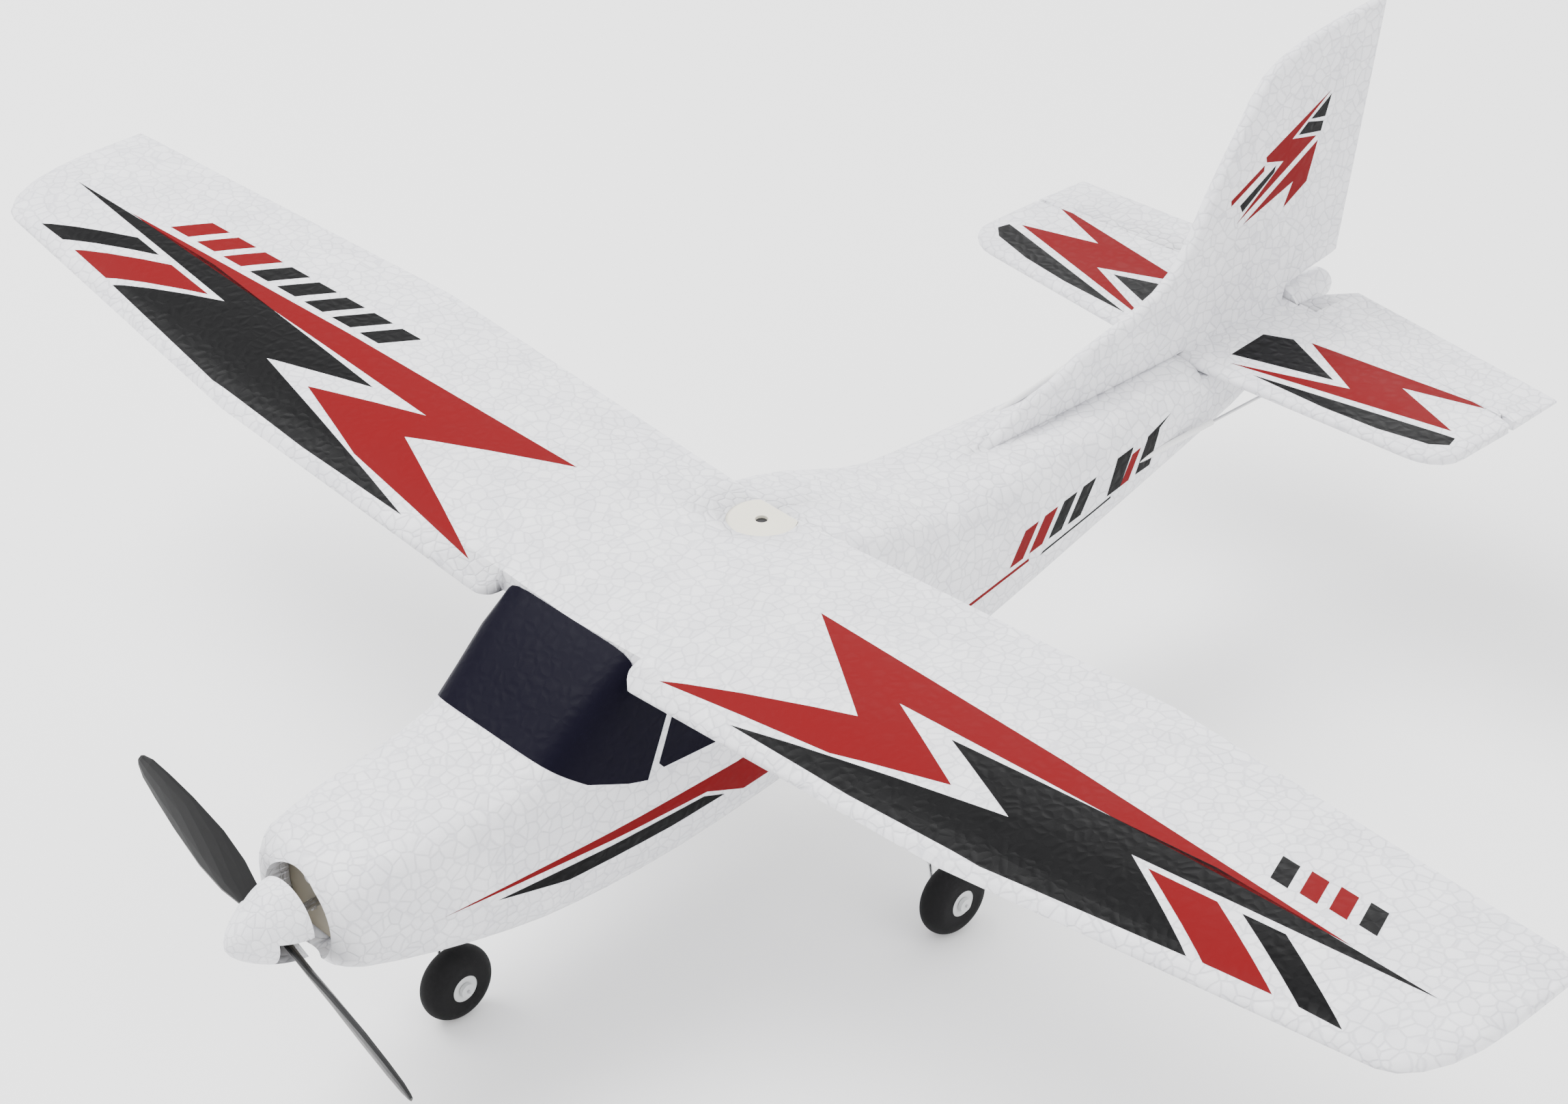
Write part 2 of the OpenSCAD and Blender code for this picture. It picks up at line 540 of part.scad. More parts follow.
// Room that the elevator halves sweep beside the tail's end
module elevator_room() for (side = [-1, 1]) mirror([side > 0 ? 0 : 1, 0, 0])
    block([elevator_root - 0.5, y_hinge - tail_t, z_tail - 14], [40, y_tail_end, z_tail + 14]);

joiner_in = 14;          // how far out the joiner turns back into each elevator half
joiner_back = 12;
joiner_slot = 1.1;       // the halves' hinges are swept, so the joiner shifts in the right half
module joiner_hole(side, r) {
    bar([side * (elevator_root - 2), y_hinge, z_tail], [side * joiner_in, y_hinge, z_tail], r);
    translate([side * joiner_in, y_hinge, z_tail]) sphere(r = r);
    bar([side * joiner_in, y_hinge, z_tail], [side * joiner_in, y_hinge + joiner_back, z_tail], r);
}
module elevator_left() color("white") difference() {
    elevator_blank(1);
    joiner_hole(1, joiner_r + run_gap);
    translate([0, 0, z_tail]) horn_pocket();
}
module elevator_right() color("white") difference() {
    elevator_blank(-1);
    joiner_hole(-1, joiner_r + joiner_slot);
}
module elevator_joiner() color("silver") bent_wire([
    [joiner_in, y_hinge + joiner_back - 0.5, z_tail], [joiner_in, y_hinge, z_tail],
    [-joiner_in, y_hinge, z_tail], [-joiner_in, y_hinge + joiner_back - 1.5, z_tail]], joiner_r, [0, 0, 1]);

// Elevator horn: a plate under the left half, with a slot for the pushrod
horn_x = 19.5;
horn_t = 1.6;
horn_base_l = 12;
rod_r = rod_d / 2;
horn_hinge_y = hinge_y(horn_x);
horn_slot = 1.2;         // play of the pushrod's bent end along the horn
z_horn_hole = z_tail - elevator_horn_r;
module slot_2d(w, l) {
    translate([0, l / 2]) circle(r = w / 2);
    translate([0, -l / 2]) circle(r = w / 2);
    square([w, l], center = true);
}
module horn_outline() polygon([[-2.6, z_horn_hole - 3.6], [2.6, z_horn_hole - 3.6],
    [horn_base_l, z_tail - tail_t / 2 + 1.2], [horn_base_l, z_tail - 0.3], [3, z_tail - 0.3], [3, z_tail - tail_t / 2 - 1.5],
    [-2.6, z_horn_hole + 4]]);
module horn_pocket() translate([0, 0, -z_tail]) block([horn_x - horn_t / 2 - 0.1, horn_hinge_y + 2.8, z_tail - tail_t],
    [horn_x + horn_t / 2 + 0.1, horn_hinge_y + horn_base_l + 0.2, z_tail - 0.2]);
module elevator_horn() color("ivory") translate([horn_x, horn_hinge_y, 0]) upright(horn_t) difference() {
    horn_outline();
    translate([0, z_horn_hole - horn_slot / 2]) slot_2d(rod_d + 0.6, horn_slot);
}

// ---- fin and rudder ----
fin_foot = -12.4;        // lower end of the rudder's hinge
y_rudder_foot = y_hinge - 0.5;
y_rudder_top = y_tail_end - 0.5;
z_rudder_top = z_fin_top - 1.2;
rudder_angle = atan((y_rudder_top - y_rudder_foot) / (z_rudder_top - fin_foot));
function rudder_y(z) = mix(y_rudder_foot, y_rudder_top, (z - fin_foot) / (z_rudder_top - fin_foot));
fin_edge = 2;
rudder_t = 4.6;
fin_rise = fin_h / 111;  // fin's height over the drawn one
// Upper outline of the long dorsal fin, the swept leading edge and the rounded top
fin_line = [for (p = [[0, 0.4], [17, 9.4], [36, 13.3], [51, 19.2], [76, 24.3], [92, 29.2], [101, 34.7],
    [109, 44], [119, 60.5], [127, 72], [134, 81.5], [141, 92.5], [148, 100], [157, 104.6], [172, 108.2],
    [191, 110.4], [211, 111.6]]) [y_fin_start + p[0], z_deck + p[1] * fin_rise]];
function fin_ring(y, top) = let (low = z_deck - fin_root, r = fin_t / 2, peak = max(top - r, low + 0.5))
    concat([[-r, y, low], [r, y, low]], [for (a = [0:30:180]) [r * cos(a), y, peak + min(r, top - peak) * sin(a)]]);
module fin_skin() skin(concat([for (p = fin_line) fin_ring(p[0], p[1])],
    [fin_ring(y_fin_tip + 6, fin_line[len(fin_line) - 1][1])]));
// Side view of the fin and rudder behind the dorsal fin's front
module fin_outline() polygon([[y_fin_start - 1, z_deck - fin_root], [y_fin_start - 1, z_fin_top + 20],
    [y_fin_tip + 0.8, z_fin_top + 20], [y_fin_tip, z_fin_top + 1.4], [y_tail_end + 3, fin_foot + 3.6],
    [y_tail_end + 0.5, fin_foot + 2.8], [y_rudder_foot, fin_foot], [y_rudder_foot - 2, z_tail_top],
    [y_tail_le - foam_gap, z_tail_top], [y_tail_le - foam_gap, z_deck - fin_root]]);
module rudder_bar(r) bar([0, rudder_y(fin_foot - 20), fin_foot - 20], [0, rudder_y(z_fin_top + 20), z_fin_top + 20], r);
module ahead_of_rudder(back) polygon([[0, -60], [rudder_y(-60) - back, -60], [rudder_y(140) - back, 140], [0, 140]]);
module fin() color("white") difference() {
    intersection() {
        fin_skin();
        upright(3 * fin_t) intersection() {
            fin_outline();
            ahead_of_rudder(hinge_back);
        }
    }
    rudder_bar(rudder_t / 2 + swing_gap);
}
module rudder_blank() intersection() {
    fin_skin();
    upright(3 * fin_t) fin_outline();
    translate([0, y_rudder_foot, fin_foot]) rotate([-rudder_angle, 0, 0])
        translate([0, 0, -30]) linear_extrude(fin_h + 60) rotate([0, 0, 90]) blade_section(rudder_t, fin_edge, 45);
    block([-fin_t, 0, fin_foot], [fin_t, y_fin_tip + 20, z_fin_top + 20]);
}
rudder_horn_z = -2;
rudder_hinge_y = rudder_y(rudder_horn_z);
rudder_horn_t = 1.4;
module at_rudder_horn() translate([0, rudder_hinge_y, rudder_horn_z]) rotate([-rudder_angle, 0, 0]) children();
module rudder() color("white") difference() {
    rudder_blank();
    at_rudder_horn() block([-10, 2.6, -rudder_horn_t / 2 - 0.1], [1, horn_base_l - 0.9, rudder_horn_t / 2 + 0.1]);
}
module rudder_horn() color("ivory") at_rudder_horn() translate([0, 0, -rudder_horn_t / 2]) linear_extrude(rudder_horn_t)
    difference() {
    polygon([[0.8, 2.9], [0.8, horn_base_l - 1.2], [-2.4, horn_base_l - 1.2], [-rudder_horn_r - 3.6, 2.2],
        [-rudder_horn_r - 3.6, -2.2], [-rudder_horn_r + 3, -2.2], [-3.6, 2.9]]);
    translate([-rudder_horn_r - horn_slot / 2, 0]) rotate(90) slot_2d(rod_d + 0.6, horn_slot);
}

// ---- servos, arms and pushrods ----
servo_l = 22.5;
servo_h = 22;
servo_ear = 4.6;
ear_t = 2;
ear_z = 16;              // height of the ears over the servo's base
boss_h = 4;
z_servo = -70.6;
arm_t = 1.4;
z_arm = z_servo + servo_h + boss_h + 0.4;
y_servo_shaft = -10;
shaft_off = 5.6;         // output shaft from the middle of the servo
rod_lift = 1.9;          // pushrod above its arm
z_rod = z_arm + arm_t + rod_lift;
rod_x = servo_arm_r + servo_w / 2 + 1;  // the two servos stand side by side about the centre
elevator_servo_x = rod_x - servo_arm_r;
rudder_servo_x = elevator_servo_x - servo_w - 2;
rudder_rod_x = rudder_servo_x - servo_arm_r;
guide_r = 1.2;
bore_r = rod_r + 0.3;
elevator_from = [rod_x, y_servo_shaft, z_rod];
elevator_to = [horn_x + 2.4, horn_hinge_y, z_horn_hole];
rudder_from = [rudder_rod_x, y_servo_shaft, z_rod];
rudder_axis = [0, sin(rudder_angle), cos(rudder_angle)];
rudder_pin_top = 4.6;    // rod's bend above the horn, along the hinge
rudder_to = [-rudder_horn_r, rudder_hinge_y, rudder_horn_z] + rudder_pin_top * rudder_axis;
function along(a, b, y) = mix(a, b, (y - a[1]) / (b[1] - a[1]));
elevator_tube_front = along(elevator_from, elevator_to, y_te + 60);
elevator_tube_end = along(elevator_from, elevator_to, y_tail_le + 1);
rudder_tube_front = along(rudder_from, rudder_to, y_te + 60);
rudder_tube_end = along(rudder_from, rudder_to, y_tail_le - 22);
module tube_line(a, b, r) bar(a - (b - a) * 0.02, b + (b - a) * 0.05, r);

module servo(x) color("royalblue") translate([x, y_servo_shaft - shaft_off, z_servo]) {
    block([-servo_w / 2, -servo_l / 2, 0], [servo_w / 2, servo_l / 2, servo_h]);
    difference() {
        block([-servo_w / 2, -servo_l / 2 - servo_ear, ear_z], [servo_w / 2, servo_l / 2 + servo_ear, ear_z + ear_t]);
        for (s = [-1, 1]) translate([0, s * (servo_l / 2 + servo_ear / 2), ear_z - 1]) cylinder(r = 0.9, h = ear_t + 2);
    }
    translate([0, shaft_off, servo_h - eps]) cylinder(r = servo_w / 2 - 0.4, h = boss_h - 1.2);
    translate([0, shaft_off, servo_h]) cylinder(r = 2.1, h = boss_h);
}
module elevator_servo() servo(elevator_servo_x);
module rudder_servo() servo(rudder_servo_x);
tray_t = 2;
z_tray = z_servo + ear_z - tray_t;
module servo_tray() color("burlywood") difference() {
    block([-cabin_half + wall + 1, y_servo_shaft - shaft_off - servo_l / 2 - 10, z_tray],
        [cabin_half - wall - 1, y_servo_shaft - shaft_off + servo_l / 2 + 10, z_tray + tray_t]);
    for (x = [elevator_servo_x, rudder_servo_x]) translate([x, y_servo_shaft - shaft_off, z_tray]) {
        block([-servo_w / 2 - 0.2, -servo_l / 2 - 0.2, -1], [servo_w / 2 + 0.2, servo_l / 2 + 0.2, tray_t + 1]);
        for (s = [-1, 1]) translate([0, s * (servo_l / 2 + servo_ear / 2), -1]) cylinder(r = 0.85, h = tray_t + 2);
    }
}
module servo_screws() color("silver") for (x = [elevator_servo_x, rudder_servo_x], s = [-1, 1])
    translate([x, y_servo_shaft - shaft_off + s * (servo_l / 2 + servo_ear / 2), z_tray + tray_t + ear_t]) {
    translate([0, 0, -7]) cylinder(r = 0.8, h = 7 + eps);
    cylinder(r = 1.7, h = 1.2);
}
// Servo arm: a round hub and a tapering arm with a slot at the pushrod
arm_slot = 1.2;         // play of the pushrod along the servo arm
module servo_arm(turn) rotate(turn) linear_extrude(arm_t) difference() {
    union() {
        circle(r = 3.4);
        translate([0, -2.6]) square([servo_arm_r + 3.4, 5.2]);
    }
    circle(r = 1);
    translate([servo_arm_r + arm_slot / 2, 0]) rotate(90) slot_2d(rod_d + 0.9, arm_slot);
}
module elevator_servo_arm() color("white") translate([elevator_servo_x, y_servo_shaft, z_arm]) servo_arm(0);
module rudder_servo_arm() color("white") translate([rudder_servo_x, y_servo_shaft, z_arm]) servo_arm(180);
module arm_screw(x) color("silver") translate([x, y_servo_shaft, z_arm]) {
    translate([0, 0, 0.2]) cylinder(r = 0.95, h = arm_t + 0.2);
    translate([0, 0, arm_t + 0.1]) cylinder(r = 1.6, h = 1);
}
module elevator_arm_screw() arm_screw(elevator_servo_x);
module rudder_arm_screw() arm_screw(rudder_servo_x);
// Pushrod: a straight wire with an end that turns down through the arm and one that turns into the horn
module elevator_pushrod() color("silver") bent_wire([elevator_from - [0, 0, rod_lift + arm_t + 1.2],
    elevator_from, elevator_to, elevator_to - [5.2, 0, 0]], rod_r);
module rudder_pushrod() color("silver") bent_wire([rudder_from - [0, 0, rod_lift + arm_t + 1.2],
    rudder_from, rudder_to, rudder_to - (rudder_pin_top + 3) * rudder_axis], rod_r);
module guide_tube(a, b) color("white") difference() {
    bar(a, b, guide_r);
    bar(a - (b - a) * 0.01, b + (b - a) * 0.01, bore_r);
}
module elevator_guide_tube() guide_tube(elevator_tube_front, elevator_tube_end);
module rudder_guide_tube() guide_tube(rudder_tube_front, rudder_tube_end);

// ---- motor and propeller, all about the thrust line ----
// Turns a shape drawn up Z so that it points to the nose, from a station
module thrust(y) translate([0, y, z_prop]) rotate([90, 0, 0]) children();
mount_w = 40;
mount_h = 32;
base_t = 3;
shaft_r = shaft_d / 2;
motor_r = motor_d / 2;
bell_l = 20;
can_t = 1.2;
y_motor = y_firewall;             // rear face of the motor mount
tube_r = shaft_r + 2.4;
boss_len = bell_l - 3;
screw_circle = motor_r - 5.5;
function spots(r, count) = [for (k = [0:count - 1]) [r * cos(45 + 360 * k / count), r * sin(45 + 360 * k / count)]];
module mount_plate(gap) rotate([-90, 0, 0]) translate([-mount_w / 2 - gap, -mount_h / 2 - gap + 1, -gap])
    cube([mount_w + 2 * gap, mount_h + 2 * gap - 2, mount_t + 2 * gap]);
module motor_mount() color("cornsilk") difference() {
    translate([0, y_motor - mount_t, z_prop]) mount_plate(0);
    thrust(y_motor + 1) cylinder(r = shaft_r + 1.5, h = mount_t + 2);
    for (p = spots(screw_circle, 4)) thrust(y_motor + 1) translate([p[0], p[1], 0]) cylinder(r = 1.1, h = mount_t + 2);
}
module motor_mount_screws() color("silver") for (p = spots(screw_circle, 4)) thrust(y_motor + base_t - 0.4)
    translate([p[0], p[1], 0]) {
        cylinder(r = 1, h = base_t + mount_t - 0.3);
        translate([0, 0, base_t + mount_t - 0.4]) cylinder(r = 1.9, h = 1.3);
    }
// Fixed base of the motor, with the tube that carries the bearings and the stator
module motor_base() color("dimgray") difference() {
    union() {
        thrust(y_motor + base_t) cylinder(r = motor_r - 2, h = base_t);
        thrust(y_motor + base_t + boss_len) cylinder(r = tube_r, h = boss_len + eps);
    }
    thrust(y_motor + base_t + boss_len + 1) cylinder(r = shaft_r + 0.6, h = boss_len + base_t + 5);
    for (y = [y_motor + 2.6, y_motor + base_t + boss_len + eps]) thrust(y) cylinder(r = shaft_r + 1.7, h = 2.6 + eps);
    for (p = spots(screw_circle, 4)) thrust(y_motor + base_t + 1) translate([p[0], p[1], 0]) cylinder(r = 1.05, h = base_t + 2);
}
module motor_bearings() color("silver") for (y = [y_motor + 2.5, y_motor + base_t + boss_len]) thrust(y) difference() {
    cylinder(r = shaft_r + 1.65, h = 2.4);
    translate([0, 0, -1]) cylinder(r = shaft_r + run_gap, h = 5);
}
stator_r = motor_r - can_t - 1.8;
stator_l = 9;
tooth_w = 2.4;
winding_w = 3.8;
shoe_w = 5.2;
shoe_t = 1.4;
teeth = 9;
module motor_stator() color("peru") thrust(y_motor + base_t + 3 + stator_l) difference() {
    union() {
        cylinder(r = tube_r + 2, h = stator_l);
        for (k = [0:teeth - 1]) rotate(360 / teeth * k) {
            translate([tube_r + 1, -tooth_w / 2, 0]) cube([stator_r - tube_r - 1.5, tooth_w, stator_l]);
            translate([tube_r + 2.6, -winding_w / 2, 0.8])
                cube([stator_r - shoe_t - tube_r - 3, winding_w, stator_l - 1.6]);
            translate([stator_r - shoe_t, -shoe_w / 2, 0]) cube([shoe_t - 0.3, shoe_w, stator_l]);
        }
    }
    translate([0, 0, -1]) cylinder(r = tube_r + 0.05, h = stator_l + 2);
}
module motor_bell() color("gray") difference() {
    thrust(y_motor + base_t + bell_l) cylinder(r = motor_r, h = bell_l - 1);
    thrust(y_motor + base_t + bell_l - 2) cylinder(r = motor_r - can_t, h = bell_l);
    thrust(y_motor + base_t + bell_l + 1) cylinder(r = shaft_r, h = 5);
    for (a = [0:60:300]) thrust(y_motor + base_t + bell_l + 1) rotate(a) translate([motor_r * 0.58, 0, 0]) cylinder(r = 2.2, h = 5);
}
y_prop = y_spinner - 6;           // middle of the propeller
shaft_end = y_prop - 9;
module motor_shaft() color("silver") thrust(y_motor + base_t + bell_l)
    cylinder(r = shaft_r, h = y_motor + base_t + bell_l - shaft_end);

// Blade of the propeller, lying along X: chord and pitch change along it
blade_root = 4;
hub_r = 5.5;
hub_l = 8;
blade_rows = [[blade_root, 0.42, 48], [12, 0.5, 40], [22, 0.82, 31], [34, 1, 24], [50, 0.93, 18.5],
    [62, 0.74, 16], [70, 0.55, 14.5], [prop_d / 2 - 1, 0.3, 14], [prop_d / 2, 0.16, 14]];
blade_t = 0.13;          // thickness of a blade over its chord
function blade_station(r) = blade_root + (r - blade_root) * (prop_d / 2 - blade_root) / (75 - blade_root);
function blade_ring(r, share, pitch) = let (c = blade_chord * share, t = c * blade_t * (1.6 - 0.6 * share) + 0.5)
    [for (k = [0:11]) let (a = 30 * k, u = c / 2 * cos(a), v = t / 2 * sin(a) * (1 - 0.35 * cos(a)))
    [r, u * sin(pitch) + v * cos(pitch), u * cos(pitch) - v * sin(pitch)]];
module blade() skin([for (row = blade_rows) blade_ring(row[0] > 71 ? row[0] : min(blade_station(row[0]), prop_d / 2 - 3),
    row[1], row[2])]);
module propeller() color("black") translate([0, y_prop, z_prop]) difference() {
    union() {
        rotate([90, 0, 0]) cylinder(r = hub_r, h = hub_l, center = true);
        for (turn = [0, 180]) rotate([0, -prop_rest + turn, 0]) mirror([0, 0, 1]) blade();
    }
    rotate([90, 0, 0]) cylinder(r = shaft_r + 0.02, h = 30, center = true);
}
module propeller_nut() color("goldenrod") thrust(y_prop - hub_l / 2 - 0.1) difference() {
    cylinder(r = 4, h = 4, $fn = 6);
    translate([0, 0, -1]) cylinder(r = shaft_r + 0.02, h = 8);
}
// Spinner: a rounded cone, cut away over the blades and the nut
spinner_r = spinner_d / 2;
cone_steps = 14;
cone = [for (k = [0:cone_steps]) let (t = k / cone_steps)
    [spinner_r * pow(max(0, 1 - pow(t, 1.55)), 0.68), spinner_len * t]];
module spinner() color("white") difference() {
    thrust(y_spinner) rotate_extrude() polygon(concat([[0, 0]], cone));
    thrust(y_spinner + 1) cylinder(r = hub_r + 0.6, h = 12.5);
    thrust(y_spinner + 1) cylinder(r = 4.9, h = 16.5);
    translate([0, y_spinner, z_prop]) rotate([0, -prop_rest, 0])
        block([-spinner_r - 2, -11.5, -blade_chord * 0.33], [spinner_r + 2, 2, blade_chord * 0.33]);
}

// ---- power and radio ----
bay_floor = z_belly + wall;
battery_l = 58;
battery_w = 30;
battery_h = 15;
z_battery = z_belly + hatch_t + 4;
module battery() color("steelblue") block([-battery_w / 2, y_hatch + 4, z_battery],
    [battery_w / 2, y_hatch + 4 + battery_l, z_battery + battery_h]);
esc_l = 32;
esc_w = 22;
esc_h = 8;
y_esc = y_motor + 28;
z_esc = z_prop - 6;
module speed_controller() color("darkgreen") block([-esc_w / 2, y_esc, z_esc], [esc_w / 2, y_esc + esc_l, z_esc + esc_h]);
rx_l = 34;
rx_w = 22;
rx_h = 11;
y_rx = y_screen_top + 6;
z_rx = z_servo + 6;
module receiver() color("black") block([-rx_w / 2, y_rx, z_rx], [rx_w / 2, y_rx + rx_l, z_rx + rx_h]);
lead_r = 0.8;
bell_end = y_motor + base_t + bell_l;
z_over_motor = z_prop + motor_r + 1.8;
z_esc_pads = z_esc + esc_h - 2;
module motor_leads() color("red") for (x = [-4, 0, 4])
    lead([[x, y_motor + 1.2, z_over_motor - 2.7], [x, y_motor + 2.4, z_over_motor], [x, bell_end + 1.5, z_over_motor],
        [x, y_esc - 1.5, z_esc_pads], [x, y_esc - 0.1, z_esc_pads]], lead_r);
module battery_lead() color("red") {
    for (x = [-3, 3]) lead([[x, y_hatch + 3.9, z_battery + battery_h * 0.6], [x, y_hatch - 1, z_battery + battery_h * 0.6],
        [x, y_hatch - 6, z_battery + battery_h * 0.6 + 6], [x, y_esc + esc_l + 5, z_esc - 2],
        [x, y_esc + esc_l + 3, z_esc + 2], [x, y_esc + esc_l + 0.1, z_esc + 2]], lead_r);
}
module servo_leads() color("saddlebrown") for (x = [elevator_servo_x, rudder_servo_x])
    lead([[x, y_servo_shaft - shaft_off - servo_l / 2 - 0.1, z_servo + 4],
        [x, y_servo_shaft - shaft_off - servo_l / 2 - 5, z_servo + 4], [x * 0.5, y_rx + rx_l + 4, z_rx + 5],
        [x * 0.5, y_rx + rx_l + 0.1, z_rx + 5]], lead_r);

// ---- landing gear ----
leg_x = tyre_w / 2 + 3;
axle_past = 2.2;         // axle beyond the wheel
module nose_gear_block() color("dimgray") difference() {
    block([-block_w / 2, nose_wheel_y - block_l / 2, z_nose_block],
        [block_w / 2, nose_wheel_y + block_l / 2, z_nose_block + block_h]);
    translate([0, nose_wheel_y, z_nose_block - 1]) cylinder(r = wire_r + 0.05, h = block_h - 1);
}
z_offset_bend = z_axle + tyre_d / 2 + 4;
module nose_gear_wire() color("silver") bent_wire([[0, nose_wheel_y, z_nose_block + block_h - 2.2],
    [0, nose_wheel_y, z_offset_bend + 3], [-leg_x, nose_wheel_y, z_offset_bend - 3], [-leg_x, nose_wheel_y, z_axle],
    [tyre_w / 2 + axle_past, nose_wheel_y, z_axle]], wire_r);
leg_top = 20;            // where each leg leaves the belly
knee_x = track / 2 - tyre_w / 2 - 4.5;
function leg(side) = [[side * leg_top, main_y, z_main_wire], [side * (knee_x - 1.5), main_y, z_axle + 8.5],
    [side * knee_x, main_y, z_axle], [side * (track / 2 + tyre_w / 2 + axle_past), main_y, z_axle]];
module main_gear_wire() color("silver") bent_wire(concat([for (k = [3:-1:0]) leg(-1)[k]], leg(1)), wire_r);
plate_screw_r = 1;
plate_head_r = 1.9;
plate_head_t = 0.9;      // the heads are sunk in the plate
plate_screw_places = [for (x = [-12, 12], y = [-7, 7]) [x, main_y + y]];
module main_gear_plate() color("ivory") difference() {
    block([-plate_w / 2, main_y - plate_l / 2, z_plate - plate_t], [plate_w / 2, main_y + plate_l / 2, z_plate - 0.05]);
    for (p = plate_screw_places) translate([p[0], p[1], z_plate - plate_t]) {
        translate([0, 0, -1]) cylinder(r = plate_screw_r + run_gap, h = 10);
        translate([0, 0, -1]) cylinder(r = plate_head_r + 0.1, h = 1 + plate_head_t + run_gap);
    }
}
module gear_plate_screws() color("silver") for (p = plate_screw_places) translate([p[0], p[1], z_plate - plate_t]) {
    cylinder(r = plate_head_r, h = plate_head_t);
    translate([0, 0, plate_head_t - eps]) cylinder(r = plate_screw_r, h = 8);
}
hub_face_r = 5.2;
hub_w = tyre_w - 0.8;
module turned(x, y) translate([x, y, z_axle]) rotate([0, 90, 0]) children();
// Tyre: a round-shouldered balloon tyre with a straight bore
module tyre(x, y) color("black") turned(x, y) difference() {
    rotate_extrude() {
        translate([tyre_d / 2 - tyre_w / 2, 0]) circle(d = tyre_w);
        translate([hub_face_r, -tyre_w / 2]) square([tyre_d / 2 - tyre_w / 2 - hub_face_r, tyre_w]);
    }
    cylinder(r = hub_face_r, h = tyre_w + 2, center = true);
}
module hub(x, y) color("lightgray") turned(x, y) difference() {
    cylinder(r = hub_face_r - 0.02, h = hub_w, center = true);
    cylinder(r = wire_r + run_gap, h = tyre_w + 2, center = true);
}
module nose_tyre() tyre(0, nose_wheel_y);
module nose_hub() hub(0, nose_wheel_y);
module left_tyre() tyre(track / 2, main_y);
module left_hub() hub(track / 2, main_y);
module right_tyre() tyre(-track / 2, main_y);
module right_hub() hub(-track / 2, main_y);
// Retainers: a cap on each axle's end and a collar on the leg's side
cap_t = 1.5;
module retainer_pair(x, y, side) for (s = [-1, 1]) turned(x + side * s * (hub_w / 2 + 0.3 + cap_t / 2), y)
    difference() {
        cylinder(r = s > 0 ? 2.6 : 1.8, h = cap_t, center = true);
        cylinder(r = wire_r, h = cap_t + 2, center = true);
    }
module wheel_retainers() color("lightgray") {
    retainer_pair(0, nose_wheel_y, 1);
    retainer_pair(track / 2, main_y, 1);
    retainer_pair(-track / 2, main_y, -1);
}

on_wheels() fuselage_left_half();
on_wheels() fuselage_right_half();
on_wheels() battery_hatch();
on_wheels() hatch_magnet();
on_wheels() hatch_keeper();
on_wheels() wing();
on_wheels() wing_spar();
on_wheels() wing_tongue();
on_wheels() wing_screw_plate();
on_wheels() wing_screw();
on_wheels() wing_nut_block();
on_wheels() fin();
on_wheels() rudder();
on_wheels() rudder_horn();
on_wheels() tailplane();
on_wheels() elevator_left();
on_wheels() elevator_right();
on_wheels() elevator_joiner();
on_wheels() elevator_horn();
on_wheels() servo_tray();
on_wheels() elevator_servo();
on_wheels() rudder_servo();
on_wheels() servo_screws();
on_wheels() elevator_servo_arm();
on_wheels() rudder_servo_arm();
on_wheels() elevator_arm_screw();
on_wheels() rudder_arm_screw();
on_wheels() elevator_pushrod();
on_wheels() rudder_pushrod();
on_wheels() elevator_guide_tube();
on_wheels() rudder_guide_tube();
on_wheels() motor_mount();
on_wheels() motor_mount_screws();
on_wheels() motor_base();
on_wheels() motor_bearings();
on_wheels() motor_stator();
on_wheels() motor_bell();
on_wheels() motor_shaft();
on_wheels() propeller();
on_wheels() propeller_nut();
on_wheels() spinner();
on_wheels() battery();
on_wheels() battery_lead();
on_wheels() speed_controller();
on_wheels() motor_leads();
on_wheels() receiver();
on_wheels() servo_leads();
on_wheels() nose_gear_block();
on_wheels() nose_gear_wire();
on_wheels() main_gear_plate();
on_wheels() gear_plate_screws();
on_wheels() main_gear_wire();
on_wheels() nose_tyre();
on_wheels() nose_hub();
on_wheels() left_tyre();
on_wheels() left_hub();
on_wheels() right_tyre();
on_wheels() right_hub();
on_wheels() wheel_retainers();
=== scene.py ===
"""Looks of a high-wing foam model airplane: moulded foam, printed films, fittings and light."""
import json
import logging
import math
from dataclasses import dataclass
from enum import Enum
from typing import Optional, Sequence

import bmesh
import bpy
from mathutils import Matrix, Vector
from mathutils.geometry import tessellate_polygon


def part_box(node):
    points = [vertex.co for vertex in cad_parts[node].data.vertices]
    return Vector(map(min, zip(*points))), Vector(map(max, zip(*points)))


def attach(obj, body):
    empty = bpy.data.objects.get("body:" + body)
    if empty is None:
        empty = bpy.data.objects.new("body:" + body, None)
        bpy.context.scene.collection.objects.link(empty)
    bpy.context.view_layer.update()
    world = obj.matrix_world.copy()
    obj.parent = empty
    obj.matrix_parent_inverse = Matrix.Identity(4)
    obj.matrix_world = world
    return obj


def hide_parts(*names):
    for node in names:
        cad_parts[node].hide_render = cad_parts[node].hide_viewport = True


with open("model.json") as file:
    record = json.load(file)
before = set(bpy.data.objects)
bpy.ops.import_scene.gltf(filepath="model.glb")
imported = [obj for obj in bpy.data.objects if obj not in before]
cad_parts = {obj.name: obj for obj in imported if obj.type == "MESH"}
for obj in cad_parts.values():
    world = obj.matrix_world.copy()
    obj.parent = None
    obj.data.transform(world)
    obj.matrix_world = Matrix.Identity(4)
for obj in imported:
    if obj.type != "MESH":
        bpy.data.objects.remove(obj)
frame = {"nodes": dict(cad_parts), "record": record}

LOG = logging.getLogger("airplane")
MM = 0.001
MERGE_M = 2e-6
Point = tuple[float, float]
Outline = tuple[Point, ...]
Colour = tuple[float, float, float]
Scale = tuple[float, float, float]
